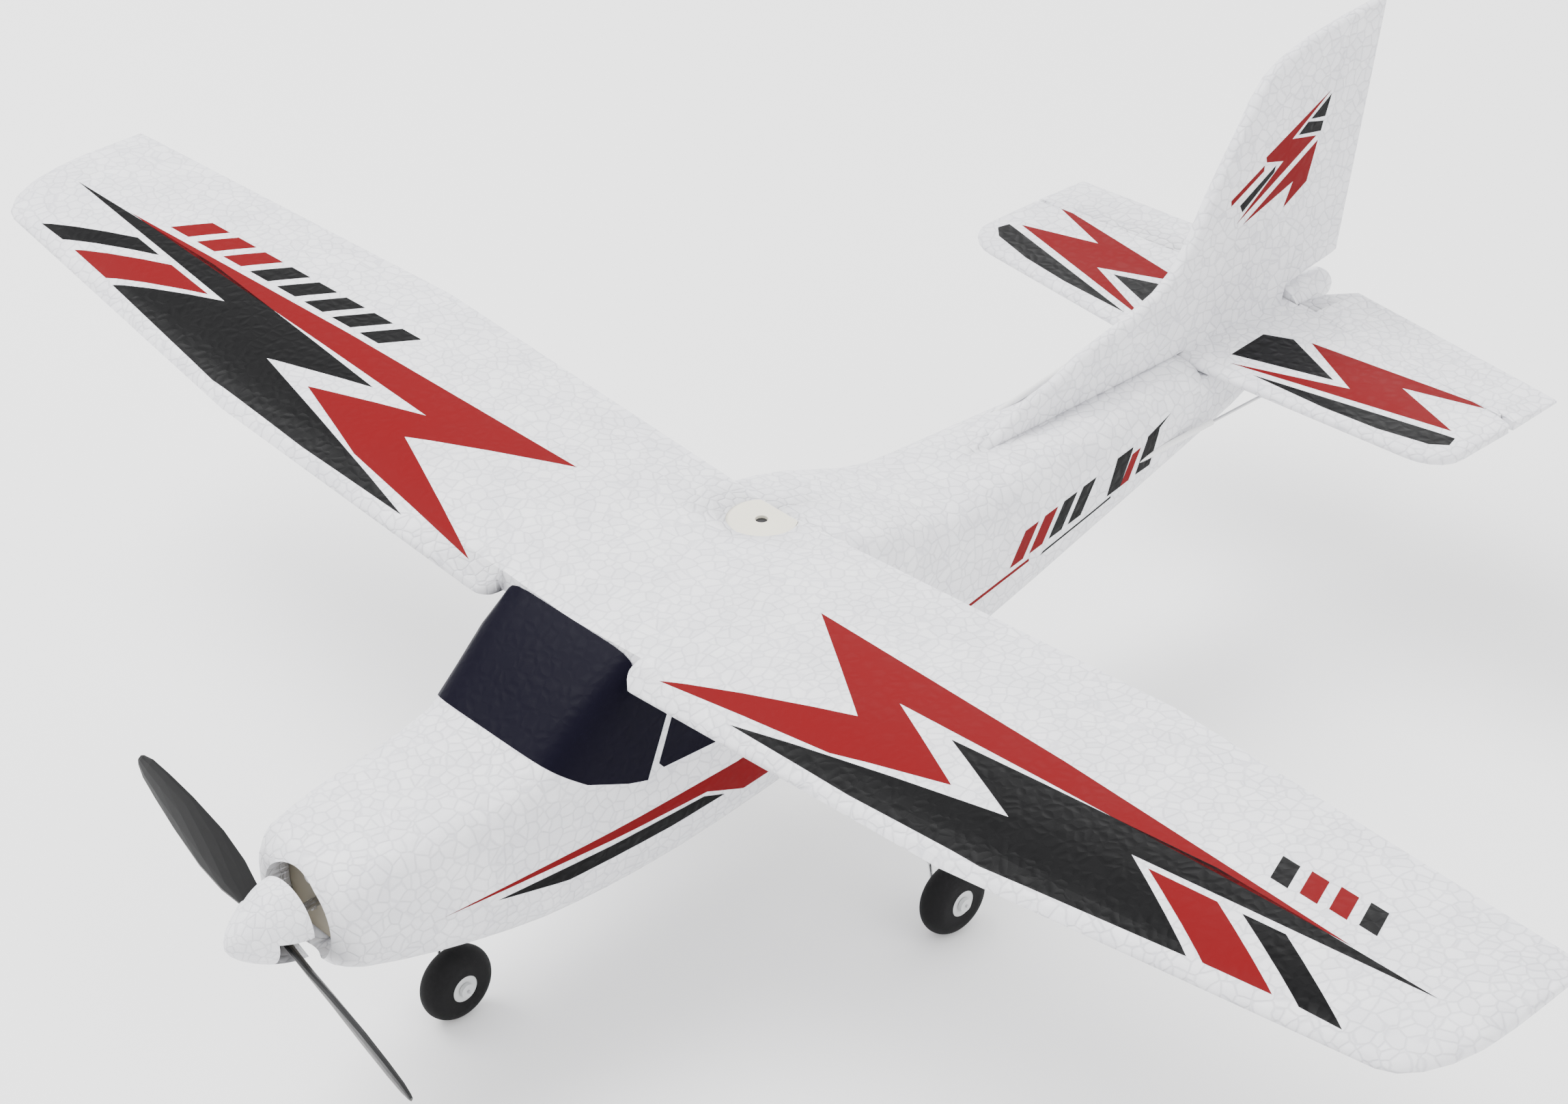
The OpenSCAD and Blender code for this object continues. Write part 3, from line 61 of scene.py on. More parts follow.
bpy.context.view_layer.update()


class Side(Enum):
    """The two sides of the airplane; the value is the sign of X."""

    LEFT = 1
    RIGHT = -1


class Facing(Enum):
    """The way that a film's outline looks at the surface."""

    TOP = "z"
    SIDE = "x"


class Airframe:
    """The airframe datum: the wing screw on top of the wing, which the outlines are drawn about."""

    screw_low, screw_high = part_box("wing_screw_plate")
    disc_radius = (screw_high.x - screw_low.x) / 2
    datum = Vector((0.0, screw_low.y + disc_radius, screw_high.z))

    @classmethod
    def place(cls, x: float, y: float, z: float) -> Vector:
        """Turns millimetres from the datum into metres in the shared frame."""
        return cls.datum + Vector((x, y, z)) * MM


# ---------------------------------------------------------------- shader maths
class Socket:
    """A shader socket with the arithmetic that the finishes use."""

    def __init__(self, tree: bpy.types.NodeTree, link: bpy.types.NodeSocket) -> None:
        """Keeps the tree and one output socket of it."""
        self.tree = tree
        self.link = link

    def _math(self, operation: str, *values: "Socket | float") -> "Socket":
        """Adds one Math node.

        Args:
            operation: Name of the Math node's operation.
            values: Numbers or sockets, in the node's order.

        Returns:
            The node's result.
        """
        node = self.tree.nodes.new("ShaderNodeMath")
        node.operation = operation
        for slot, value in zip(node.inputs, values):
            if isinstance(value, Socket):
                self.tree.links.new(value.link, slot)
            else:
                slot.default_value = value
        return Socket(self.tree, node.outputs[0])

    def __add__(self, other: "Socket | float") -> "Socket":
        """Sum."""
        return self._math("ADD", self, other)

    __radd__ = __add__

    def __mul__(self, other: "Socket | float") -> "Socket":
        """Product."""
        return self._math("MULTIPLY", self, other)

    __rmul__ = __mul__

    def __sub__(self, other: "Socket | float") -> "Socket":
        """Difference."""
        return self._math("SUBTRACT", self, other)

    def __rsub__(self, other: float) -> "Socket":
        """Difference from a number, such as 1 - mask."""
        return self._math("SUBTRACT", other, self)

    def smooth(self, low: float, high: float) -> "Socket":
        """Rises smoothly from 0 at low to 1 at high.

        Args:
            low: The value that gives 0.
            high: The value that gives 1.

        Returns:
            The eased value.
        """
        node = self.tree.nodes.new("ShaderNodeMapRange")
        node.interpolation_type = "SMOOTHSTEP"
        self.tree.links.new(self.link, node.inputs["Value"])
        node.inputs["From Min"].default_value = low
        node.inputs["From Max"].default_value = high
        return Socket(self.tree, node.outputs["Result"])


class Shader:
    """One material under construction, with its Principled shader."""

    bend_scale = 0.9
    bend_reach = 0.28

    def __init__(self, name: str) -> None:
        """Makes an empty material with a Principled shader."""
        self.material = bpy.data.materials.new(name)
        self.material.use_nodes = True
        self.tree = self.material.node_tree
        self.tree.nodes.clear()
        self.principled = self.tree.nodes.new("ShaderNodeBsdfPrincipled")
        output = self.tree.nodes.new("ShaderNodeOutputMaterial")
        self.tree.links.new(self.principled.outputs[0], output.inputs["Surface"])
        self.space = self.node("ShaderNodeTexCoord", {}, {}).outputs["Object"]

    def node(self, kind: str, settings: dict, values: dict) -> bpy.types.Node:
        """Adds any node.

        Args:
            kind: The node's type.
            settings: Properties that are set first.
            values: Input socket names with values, sockets or wrapped sockets.

        Returns:
            The new node.
        """
        made = self.tree.nodes.new(kind)
        for key, value in settings.items():
            setattr(made, key, value)
        for key, value in values.items():
            slot = made.inputs[key]
            if isinstance(value, Socket):
                self.tree.links.new(value.link, slot)
            elif isinstance(value, bpy.types.NodeSocket):
                self.tree.links.new(value, slot)
            else:
                slot.default_value = value
        return made

    def stretch(self, scale: Scale) -> None:
        """Stretches the patterns that are made after it, one factor along each axis."""
        turned = self.node("ShaderNodeMapping", {}, {"Vector": self.space, "Scale": scale})
        self.space = turned.outputs[0]

    def wrap(self, socket: bpy.types.NodeSocket) -> Socket:
        """Wraps a plain socket for arithmetic."""
        return Socket(self.tree, socket)

    def noise(self, scale: float, detail: float = 2.0, rough: float = 0.5) -> Socket:
        """Noise on object coordinates, about 0 to 1.

        Args:
            scale: Waves a metre.
            detail: Octaves of finer noise.
            rough: Strength of each finer octave.

        Returns:
            The noise.
        """
        made = self.node("ShaderNodeTexNoise", {}, {"Vector": self.space, "Scale": scale,
                                                    "Detail": detail, "Roughness": rough})
        return self.wrap(made.outputs["Fac"])

    def cells(self, scale: float, feature: str = "DISTANCE_TO_EDGE") -> bpy.types.Node:
        """Voronoi cells on object coordinates, bent a little so that no wall is straight.

        Args:
            scale: Cells a metre.
            feature: The cells' measure: the distance to a wall, or the nearest cell.

        Returns:
            The Voronoi node.
        """
        bend = self.node("ShaderNodeTexNoise", {},
                         {"Vector": self.space, "Scale": scale * self.bend_scale})
        bent = self.node("ShaderNodeVectorMath", {"operation": "MULTIPLY_ADD"},
                         {0: bend.outputs["Color"], 1: (self.bend_reach / scale,) * 3,
                          2: self.space})
        return self.node("ShaderNodeTexVoronoi", {"feature": feature},
                         {"Vector": bent.outputs[0], "Scale": scale})

    def mix(self, amount: Socket, low: Colour, high: Colour) -> bpy.types.NodeSocket:
        """Blends two colours.

        Args:
            amount: 0 for the low colour, 1 for the high one.
            low: The first colour.
            high: The second colour.

        Returns:
            The blended colour.
        """
        made = self.node("ShaderNodeMix", {"data_type": "RGBA"}, {0: amount})
        made.inputs[6].default_value = (*low, 1.0)
        made.inputs[7].default_value = (*high, 1.0)
        return made.outputs[2]

    def bump(self, height: Socket, distance: float, strength: float = 1.0) -> None:
        """Links a height to the shader's normal.

        Args:
            height: The height, about 0 to 1.
            distance: What a height of 1 stands for, in metres.
            strength: How much of the relief shows.
        """
        made = self.node("ShaderNodeBump", {}, {"Height": height, "Distance": distance,
                                                "Strength": strength})
        self.tree.links.new(made.outputs[0], self.principled.inputs["Normal"])

    def set(self, **values: "Socket | bpy.types.NodeSocket | float | tuple") -> None:
        """Sets or links the shader's sockets.

        Args:
            values: Values by socket name, with _ in place of spaces.
        """
        for key, value in values.items():
            slot = self.principled.inputs[key.replace("_", " ")]
            if isinstance(value, Socket):
                self.tree.links.new(value.link, slot)
            elif isinstance(value, bpy.types.NodeSocket):
                self.tree.links.new(value, slot)
            else:
                slot.default_value = value


# ---------------------------------------------------------------- finishes
@dataclass(frozen=True)
class BeadFoam:
    """White moulded bead foam: pressed cells with fine walls, a soft skin and a faint mottle."""

    name: str = "bead_foam"
    tint: Colour = (0.80, 0.80, 0.825)
    shade: Colour = (0.56, 0.56, 0.60)
    cell_mm: float = 4.6
    relief_mm: float = 0.6
    wall_width: float = 0.10
    dome_width: float = 0.42
    mottle_scale: float = 46.0
    grain_scale: float = 1500.0
    patch_scale: float = 17.0
    least_light: float = 0.24
    # how much darker the walls between beads are: painted shade in the grooves between the beads
    wall_light: float = 0.44
    bead_light: float = 0.3
    mottle_light: float = 0.7
    roughness: float = 0.5

    def make(self) -> bpy.types.Material:
        """Builds the material."""
        shader = Shader(self.name)
        scale = 1 / (self.cell_mm * MM)
        edge = shader.wrap(shader.cells(scale).outputs["Distance"])
        wall = edge.smooth(0.0, self.wall_width)
        dome = edge.smooth(0.0, self.dome_width)
        cell = shader.node("ShaderNodeSeparateColor", {},
                           {"Color": shader.cells(scale, "F1").outputs["Color"]})
        bead = shader.wrap(cell.outputs[0])
        mottle = shader.noise(self.mottle_scale, 3.0)
        grain = shader.noise(self.grain_scale, 2.0)
        patch = shader.noise(self.patch_scale, 2.0).smooth(0.35, 0.65)
        # the walls between beads are painted darker, as painted shade in the grooves that the bump
        # also cuts; bead and mottle vary the tone at random
        light = (self.least_light + wall * self.wall_light + (bead - 0.5) * self.bead_light
                 + (mottle - 0.5) * self.mottle_light)
        shader.set(Base_Color=shader.mix(light, self.shade, self.tint),
                   Roughness=self.roughness + (mottle - 0.5) * 0.25 + (1 - wall) * 0.14,
                   Specular_IOR_Level=0.42, Sheen_Weight=0.04)
        pressed = dome * 0.45 * (0.35 + patch * 0.65)
        shader.bump(pressed + wall * 0.3 + bead * 0.18 + grain * 0.06, self.relief_mm * MM, 0.9)
        return shader.material


@dataclass(frozen=True)
class Film:
    """Printed film over foam: a flat colour whose gloss shows the beads under it."""

    name: str
    colour: Colour
    dark: Colour
    roughness: float
    relief_mm: float
    gloss: float
    cell_mm: float = 4.6
    dome_width: float = 0.4
    mottle_scale: float = 60.0
    grain_scale: float = 900.0

    def make(self) -> bpy.types.Material:
        """Builds the material."""
        shader = Shader(self.name)
        scale = 1 / (self.cell_mm * MM)
        dome = shader.wrap(shader.cells(scale).outputs["Distance"]).smooth(0.0, self.dome_width)
        mottle = shader.noise(self.mottle_scale, 3.0)
        grain = shader.noise(self.grain_scale, 3.0)
        shader.set(Base_Color=shader.mix(0.3 + mottle * 0.7, self.dark, self.colour),
                   Roughness=self.roughness + (mottle - 0.5) * 0.2 + (1 - dome) * 0.06,
                   Specular_IOR_Level=self.gloss)
        shader.bump(dome * 0.6 + mottle * 0.7 + grain * 0.05, self.relief_mm * MM, 0.7)
        return shader.material


@dataclass(frozen=True)
class Moulded:
    """Moulded plastic, rubber or wood with a fine texture and small wear in its colour."""

    name: str
    colour: Colour
    dark: Colour
    roughness: float = 0.45
    grain_scale: float = 900.0
    relief_mm: float = 0.03
    stretch: Scale = (1.0, 1.0, 1.0)
    specular: float = 0.5
    coat: float = 0.0

    def make(self) -> bpy.types.Material:
        """Builds the material."""
        shader = Shader(self.name)
        shader.stretch(self.stretch)
        grain = shader.noise(self.grain_scale, 4.0, 0.6)
        mottle = shader.noise(self.grain_scale * 0.12, 2.0)
        shader.set(Base_Color=shader.mix(0.25 + mottle * 0.5 + grain * 0.3, self.dark, self.colour),
                   Roughness=self.roughness + (grain - 0.5) * 0.18 + (mottle - 0.5) * 0.12,
                   Specular_IOR_Level=self.specular, Coat_Weight=self.coat)
        shader.bump(grain + mottle * 0.8, self.relief_mm * MM, 0.7)
        return shader.material


@dataclass(frozen=True)
class Metal:
    """Bare or plated metal with drawn or turned scratches."""

    name: str
    colour: Colour
    dark: Colour
    roughness: float = 0.28
    stretch: Scale = (1.0, 1.0, 1.0)
    grain_scale: float = 1400.0

    def make(self) -> bpy.types.Material:
        """Builds the material."""
        shader = Shader(self.name)
        shader.stretch(self.stretch)
        grain = shader.noise(self.grain_scale, 3.0, 0.6)
        smear = shader.noise(self.grain_scale * 0.08, 2.0)
        shader.set(Base_Color=shader.mix(0.3 + smear * 0.7, self.dark, self.colour), Metallic=1.0,
                   Roughness=self.roughness + (grain - 0.5) * 0.15 + (smear - 0.5) * 0.15)
        shader.bump(grain, 0.012 * MM, 0.5)
        return shader.material


Finish = BeadFoam | Film | Moulded | Metal
RED = Film("red_film", (0.135, 0.0007, 0.0026), (0.118, 0.0006, 0.0022), 0.5, 0.12, 0.08)
BLACK = Film("black_film", (0.0022, 0.0022, 0.0026), (0.0014, 0.0014, 0.0017), 0.34, 0.3, 0.07)
SCREEN = Film("window_film", (0.0045, 0.004, 0.0095), (0.003, 0.0026, 0.0068), 0.34, 0.14, 0.03)
FOAM = BeadFoam()
FINE_FOAM = BeadFoam("fine_bead_foam", cell_mm=3.2, relief_mm=0.4)
CREAM = Moulded("cream_plastic", (0.74, 0.71, 0.60), (0.66, 0.63, 0.52), 0.42)
# a darker copy of the cream plastic: painted shade on the motor mount, which sits in the nose
# recess behind the spinner
SHADE_DARKENED_CREAM = Moulded("cream_plastic_painted_shade", (0.26, 0.23, 0.17), (0.17, 0.15, 0.11), 0.5)
FINISHES = {
    "cream_plastic": CREAM,
    "magnet": Metal("nickel", (0.72, 0.71, 0.69), (0.55, 0.54, 0.52), 0.16),
    "carbon": Moulded("carbon_rod", (0.035, 0.035, 0.038), (0.012, 0.012, 0.013), 0.35, 700.0,
                      0.02, (0.05, 1.0, 1.0)),
    "dark_steel": Metal("blackened_steel", (0.06, 0.06, 0.065), (0.03, 0.03, 0.032), 0.4),
    "plywood": Moulded("birch_plywood", (0.58, 0.42, 0.25), (0.40, 0.27, 0.14), 0.6, 300.0, 0.05,
                       (0.12, 1.0, 3.0)),
    "wire": Metal("spring_wire", (0.62, 0.62, 0.63), (0.42, 0.42, 0.43), 0.24, (1.0, 0.1, 1.0)),
    "servo_case": Moulded("blue_servo_case", (0.02, 0.07, 0.38), (0.012, 0.04, 0.24), 0.2, 500.0,
                          0.01, coat=0.4),
    "screws": Metal("zinc_screws", (0.66, 0.66, 0.68), (0.45, 0.45, 0.47), 0.3),
    "white_plastic": Moulded("white_nylon", (0.78, 0.78, 0.78), (0.68, 0.68, 0.68), 0.35),
    "motor_metal": Metal("machined_alloy", (0.34, 0.35, 0.38), (0.22, 0.23, 0.25), 0.25,
                         (1.0, 6.0, 1.0)),
    "copper": Metal("copper_winding", (0.62, 0.27, 0.12), (0.38, 0.14, 0.06), 0.3, (1.0, 8.0, 1.0)),
    "propeller_plastic": Moulded("black_nylon", (0.008, 0.008, 0.0085), (0.004, 0.004, 0.0045),
                                 0.38, 420.0, 0.03, specular=0.25),
    "brass_nut": Metal("turned_brass", (0.70, 0.49, 0.20), (0.50, 0.33, 0.12), 0.25),
    "battery_wrap": Moulded("battery_film", (0.04, 0.14, 0.34), (0.02, 0.08, 0.22), 0.22, 160.0,
                            0.08, coat=0.4),
    "lead_rubber": Moulded("silicone_lead", (0.32, 0.02, 0.02), (0.20, 0.01, 0.01), 0.55),
    "electronics": Moulded("shrink_film", (0.035, 0.035, 0.038), (0.015, 0.015, 0.016), 0.28, 200.0,
                           0.1),
    "dark_plastic": Moulded("dark_nylon", (0.05, 0.05, 0.052), (0.025, 0.025, 0.026), 0.5),
    "tyre_foam": Moulded("foam_rubber", (0.006, 0.006, 0.0065), (0.003, 0.003, 0.0033), 0.75,
                         2200.0, 0.12, specular=0.15),
    "light_plastic": Moulded("grey_nylon", (0.52, 0.53, 0.53), (0.42, 0.43, 0.43), 0.45),
}


class Library:
    """Makes each finish once and hands it out."""

    made: dict[str, bpy.types.Material] = {}

    @classmethod
    def get(cls, finish: Finish) -> bpy.types.Material:
        """Returns the finish's material, making it the first time."""
        if finish.name not in cls.made:
            cls.made[finish.name] = finish.make()
        return cls.made[finish.name]


# ---------------------------------------------------------------- mesh helpers
def add_piece(name: str, mesh: bmesh.types.BMesh, finish: Finish, body: str) -> bpy.types.Object:
    """Turns a bmesh into a dressed piece that rides on a body.

    Args:
        name: The piece's name.
        mesh: Its shape, in the shared frame. It is freed.
        finish: Its finish.
        body: The body it moves with.

    Returns:
        The new object.
    """
    data = bpy.data.meshes.new(name)
    mesh.to_mesh(data)
    mesh.free()
    piece = bpy.data.objects.new(name, data)
    bpy.context.scene.collection.objects.link(piece)
    data.materials.append(Library.get(finish))
    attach(piece, body)
    LOG.info("made %s with %d faces", name, len(data.polygons))
    return piece


def merged_copy(*nodes: str) -> bmesh.types.BMesh:
    """A merged copy of one or more CAD nodes' meshes.

    Args:
        nodes: The nodes' names.

    Returns:
        The new bmesh, which the caller frees.
    """
    mesh = bmesh.new()
    for node in nodes:
        mesh.from_mesh(frame["nodes"][node].data)
    bmesh.ops.remove_doubles(mesh, verts=mesh.verts, dist=MERGE_M)
    return mesh


def soften(data: bpy.types.Mesh, angle: float) -> None:
    """Shades a mesh smooth except across edges sharper than an angle in degrees."""
    data.shade_smooth()
    data.set_sharp_from_angle(angle=math.radians(angle))


def cut_off(mesh: bmesh.types.BMesh, place: Vector, out: Vector) -> None:
    """Cuts away what lies beyond a plane, given as a place on it and its outward direction."""
    geometry = mesh.verts[:] + mesh.edges[:] + mesh.faces[:]
    bmesh.ops.bisect_plane(mesh, geom=geometry, dist=1e-7, plane_co=place, plane_no=out,
                           clear_outer=True)


def cut_to(mesh: bmesh.types.BMesh, corners: Sequence[Vector], facing: Facing, side: Side) -> None:
    """Cuts a mesh down to a triangle seen from above or from one side.

    Args:
        mesh: The mesh, changed in place.
        corners: The triangle in millimetres from the datum, as lay() gives it.
        facing: Where the triangle is seen from.
        side: The side that it is drawn for; the right side mirrors it.
    """
    middle = sum(corners, Vector((0.0, 0.0))) / len(corners)
    for a, b in zip(corners, [*corners[1:], corners[0]]):
        edge = b - a
        out = Vector((edge.y, -edge.x))
        if out.dot(middle - a) > 0:
            out = -out
        if facing is Facing.TOP:
            cut_off(mesh, Airframe.place(a.x * side.value, a.y, 0),
                    Vector((out.x * side.value, out.y, 0)))
        else:
            cut_off(mesh, Airframe.place(0, a.x, a.y), Vector((0, out.x, out.y)))


def thicken(mesh: bmesh.types.BMesh, lift: float, thick: float) -> None:
    """Lifts an open skin along its normals and closes it with a second skin and a rim.

    Args:
        mesh: The open skin, changed in place.
        lift: How far its outer face stands off, in millimetres.
        thick: Its thickness in millimetres.
    """
    mesh.normal_update()
    normals = {vert: vert.normal.copy() for vert in mesh.verts}
    rim = [edge for edge in mesh.edges if edge.is_boundary]
    twin = {vert: mesh.verts.new(vert.co + normals[vert] * (lift - thick) * MM)
            for vert in mesh.verts[:]}
    for face in mesh.faces[:]:
        mesh.faces.new([twin[vert] for vert in reversed(face.verts)])
    for vert, normal in normals.items():
        vert.co += normal * lift * MM
    for edge in rim:
        first, second = edge.link_loops[0].vert, edge.link_loops[0].link_loop_next.vert
        mesh.faces.new([second, first, twin[first], twin[second]])
    mesh.normal_update()


@dataclass(frozen=True)
class FilmMaker:
    """Makes printed films that follow the surface of a foam moulding."""

    lift_mm: float = 0.08
    thick_mm: float = 0.06
    least_facing: float = 0.25
    sharp_degrees: float = 40.0
    weld_m: float = 4e-6

    def lay(self, name: str, node: str, outlines: Sequence[Outline], facing: Facing,
            side: Side, finish: Film) -> Optional[bpy.types.Object]:
        """Lays a film of one colour on a moulding.

        Args:
            name: The film's name.
            node: The CAD node it sticks to.
            outlines: Outlines that make it up, in millimetres from the datum: X and Y from above,
                Y and Z from a side.
            facing: Where the outlines are seen from.
            side: The airplane's side; the right side mirrors the left.
            finish: The film's finish.

        Returns:
            The film, or None where no surface lies under the outlines.
        """
        towards = Vector((0, 0, 1)) if facing is Facing.TOP else Vector((side.value, 0, 0))
        base = merged_copy(node)
        hidden = [f for f in base.faces if f.normal.dot(towards) < self.least_facing]
        bmesh.ops.delete(base, geom=hidden, context="FACES")
        skin = bpy.data.meshes.new("skin")
        base.to_mesh(skin)
        base.free()
        whole = bmesh.new()
        for outline in outlines:
            flat = [Vector((x, y, 0.0)) for x, y in outline]
            for triangle in tessellate_polygon([flat]):
                part = bmesh.new()
                part.from_mesh(skin)
                cut_to(part, [flat[i].xy for i in triangle], facing, side)
                cut = bpy.data.meshes.new("cut")
                part.to_mesh(cut)
                part.free()
                whole.from_mesh(cut)
                bpy.data.meshes.remove(cut)
        bpy.data.meshes.remove(skin)
        bmesh.ops.remove_doubles(whole, verts=whole.verts, dist=self.weld_m)
        if not whole.faces:
            LOG.warning("no surface under %s", name)
            whole.free()
            return None
        thicken(whole, self.lift_mm, self.thick_mm)
        film = add_piece(name, whole, finish, "airframe")
        soften(film.data, self.sharp_degrees)
        return film


@dataclass(frozen=True)
class Mouldings:
    """The white foam mouldings, rebuilt with smooth shading over their true shapes."""

    pieces: tuple[tuple[str, str], ...] = (
        ("wing", "airframe"), ("fuselage_left_half", "airframe"),
        ("fuselage_right_half", "airframe"), ("fin", "airframe"), ("tailplane", "airframe"),
        ("rudder", "rudder"), ("elevator_left", "elevator"),
        ("elevator_right", "elevator_right_half"), ("battery_hatch", "hatch"),
        ("spinner", "propeller_unit"))
    sharp_degrees: float = 34.0

    def build(self) -> None:
        """Makes each moulding and lets it stand for its CAD node."""
        for node, body in self.pieces:
            fine = node == "spinner"
            finish, slot = (FINE_FOAM, "foam_smooth") if fine else (FOAM, "foam")
            piece = add_piece(f"{node}_foam", merged_copy(node), finish, body)
            soften(piece.data, self.sharp_degrees)
            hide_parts(node)


@dataclass(frozen=True)
class Livery:
    """The printed films: bolts and bars on the wing, tail, fin and cabin, and the side windows.

    Each film is a tuple of outlines in millimetres from the datum, drawn for the left side.
    """

    maker: FilmMaker = FilmMaker()
    tail_maker: FilmMaker = FilmMaker(least_facing=0.85)
    wing_red: tuple[Outline, ...] = (
        ((48.7, -90.3), (115, -65.3), (62, -30.7), (179.3, -39.7), (302, -51.4),
         (119.8, -51.6), (162.6, -71.8), (120.8, -83.4)),
        ((235.1, -63.1), (260.5, -61.5), (297.4, -80.4), (273.6, -82.6)))
    wing_black: tuple[Outline, ...] = (
        ((84, -91.5), (187, -72), (146.2, -55), (250, -49.4), (333.7, -53.4),
         (227, -61.4), (268.2, -83.4), (194, -91.6), (139, -92.5)),
        ((269.4, -60.9), (284.8, -59.8), (321.4, -79), (306.4, -79.6)))
    tail_black: tuple[Outline, ...] = (
        ((17, 228.6), (15.5, 249), (26, 254.4), (56, 241.9)),
        ((33, 222.7), (113.5, 242.2), (114.9, 237), (109.5, 231.9), (89.5, 226.6),
         (66, 223.8)))
    tail_red: tuple[Outline, ...] = (
        ((21, 223.2), (64.5, 241.4), (32.5, 257.3), (115.4, 269.5), (77.5, 256.2),
         (109.5, 245.2)),)
    fin_black: tuple[Outline, ...] = (
        ((294.8, 63.8), (291.9, 55.3), (283.5, 56.9)),
        ((281.9, 56.2), (291.1, 53.6), (290, 49.7), (276.6, 52.5)),
        ((246.3, 30.4), (244.6, 33.6), (264.4, 43.8), (263.6, 41.2)))
    fin_red: tuple[Outline, ...] = (
        ((294.3, 65.5), (258.2, 49.4), (258.7, 47.1), (268.6, 44.2), (243.5, 26.4),
         (287.4, 48.6), (273, 52)),
        ((288.7, 46.3), (283.8, 30.3), (270.8, 23.5), (275.5, 33.1), (247.1, 24.7)),
        ((239.5, 35.2), (239.2, 37.6), (257.6, 46.2), (257.4, 43.8)))
    nose_red: tuple[Outline, ...] = (
        ((-168, -65), (-43.9, -63), (-30, -61.5), (-24, -75.8), (-40, -77), (-57.7, -69)),)
    nose_black: tuple[Outline, ...] = (
        ((-147, -68.8), (-59, -70.4), (-49.3, -74.5), (-73.7, -75.6), (-118, -75.1)),)
    side_window: tuple[Outline, ...] = (
        ((-71, -24), (-44, -45), (-49, -50), (-77, -48.5), (-79, -46)),)
    boom_black_end: tuple[Outline, ...] = (
        ((153, -46.8), (158.6, -32.8), (168.2, -32.1), (161, -46.2)),
        ((170.1, -45.2), (177.2, -31.8), (191.7, -28.3), (184.5, -31.3), (179, -45)),
        ((114.6, -54.3), (155.5, -48.7), (155.5, -47.7), (116, -53.2)))
    boom_red_end: tuple[Outline, ...] = (
        ((160.9, -46.2), (167.7, -35.1), (172.8, -34.4), (166, -45.7)),
        ((62, -58.6), (108, -53.6), (108, -52.4), (62, -57.2)))
    boom_bars_from: float = 97.0
    boom_bar_low: float = -51.5
    boom_bar_high: float = -39.2
    boom_low_rise: float = 0.1
    boom_high_rise: float = 0.11
    boom_bar_step: float = 11.0
    boom_bar_wide: float = 7.5
    boom_bar_lean: float = 8.5
    boom_bar_lift: float = 0.7
    short_row: tuple[float, ...] = (264, 275, 286, 297)
    long_row: tuple[float, ...] = (168, 183, 198, 213, 228, 243, 258, 273)
    long_row_front: float = -35.5
    long_row_drop: float = 1.35

    def build(self) -> None:
        """Lays every film on both sides."""
        halves = {Side.LEFT: "fuselage_left_half", Side.RIGHT: "fuselage_right_half"}
        for side, half in halves.items():
            marks_black, marks_red = self.wing_marks(side)
            boom_black, boom_red = self.boom_bars()
            tops = {"wing_bolt_red": ("wing", self.wing_red, RED),
                    "wing_bolt_black": ("wing", self.wing_black, BLACK),
                    "wing_marks_black": ("wing", marks_black, BLACK),
                    "wing_marks_red": ("wing", marks_red, RED),
                    "tail_black": ("tailplane", self.tail_black, BLACK),
                    "tail_red": ("tailplane", self.tail_red, RED)}
            sides = {"fin_red": ("fin", self.fin_red, RED),
                     "fin_black": ("fin", self.fin_black, BLACK),
                     "nose_red": (half, self.nose_red, RED),
                     "nose_black": (half, self.nose_black, BLACK),
                     "side_window": (half, self.side_window, SCREEN),
                     "boom_black": (half, boom_black, BLACK),
                     "boom_red": (half, boom_red, RED)}
            for facing, films in ((Facing.TOP, tops), (Facing.SIDE, sides)):
                for name, (node, outlines, finish) in films.items():
                    maker = self.tail_maker if node == "tailplane" else self.maker
                    maker.lay(f"{name}_{side.name.lower()}", node, outlines, facing, side, finish)

    def boom_bars(self) -> tuple[list[Outline], list[Outline]]:
        """Slanted bars and fine lines along the tail boom.

        Returns:
            The black outlines and the red ones.
        """
        bars = []
        for along in (self.boom_bar_step * count for count in range(4)):
            y = self.boom_bars_from + along
            low = self.boom_bar_low + self.boom_low_rise * along
            high = self.boom_bar_high + self.boom_high_rise * along
            far = y + self.boom_bar_wide
            bars.append(((y, low), (far, low + self.boom_bar_lift),
                         (far + self.boom_bar_lean, high + self.boom_bar_lift),
                         (y + self.boom_bar_lean, high)))
        return [*bars[2:], *self.boom_black_end], [*bars[:2], *self.boom_red_end]

    def wing_marks(self, side: Side) -> tuple[list[Outline], list[Outline]]:
        """Rows of slanted bars on the wing: a short row on the left, a long one on the right.

        Args:
            side: The side that the row is for.

        Returns:
            The black outlines and the red ones.
        """
        if side is Side.LEFT:
            bars = [((x, -42.2), (x + 7, -42.8), (x + 2.5, -31.6), (x - 4.5, -31))
                    for x in self.short_row]
            return [bars[0], bars[3]], bars[1:3]
        bars = []
        for count, x in enumerate(self.long_row):
            base = self.long_row_front - self.long_row_drop * count
            bars.append(((x, base), (x + 10, base - 0.9), (x + 3, base + 13.5),
                         (x - 7, base + 14.4)))
        return bars[:5], bars[5:]


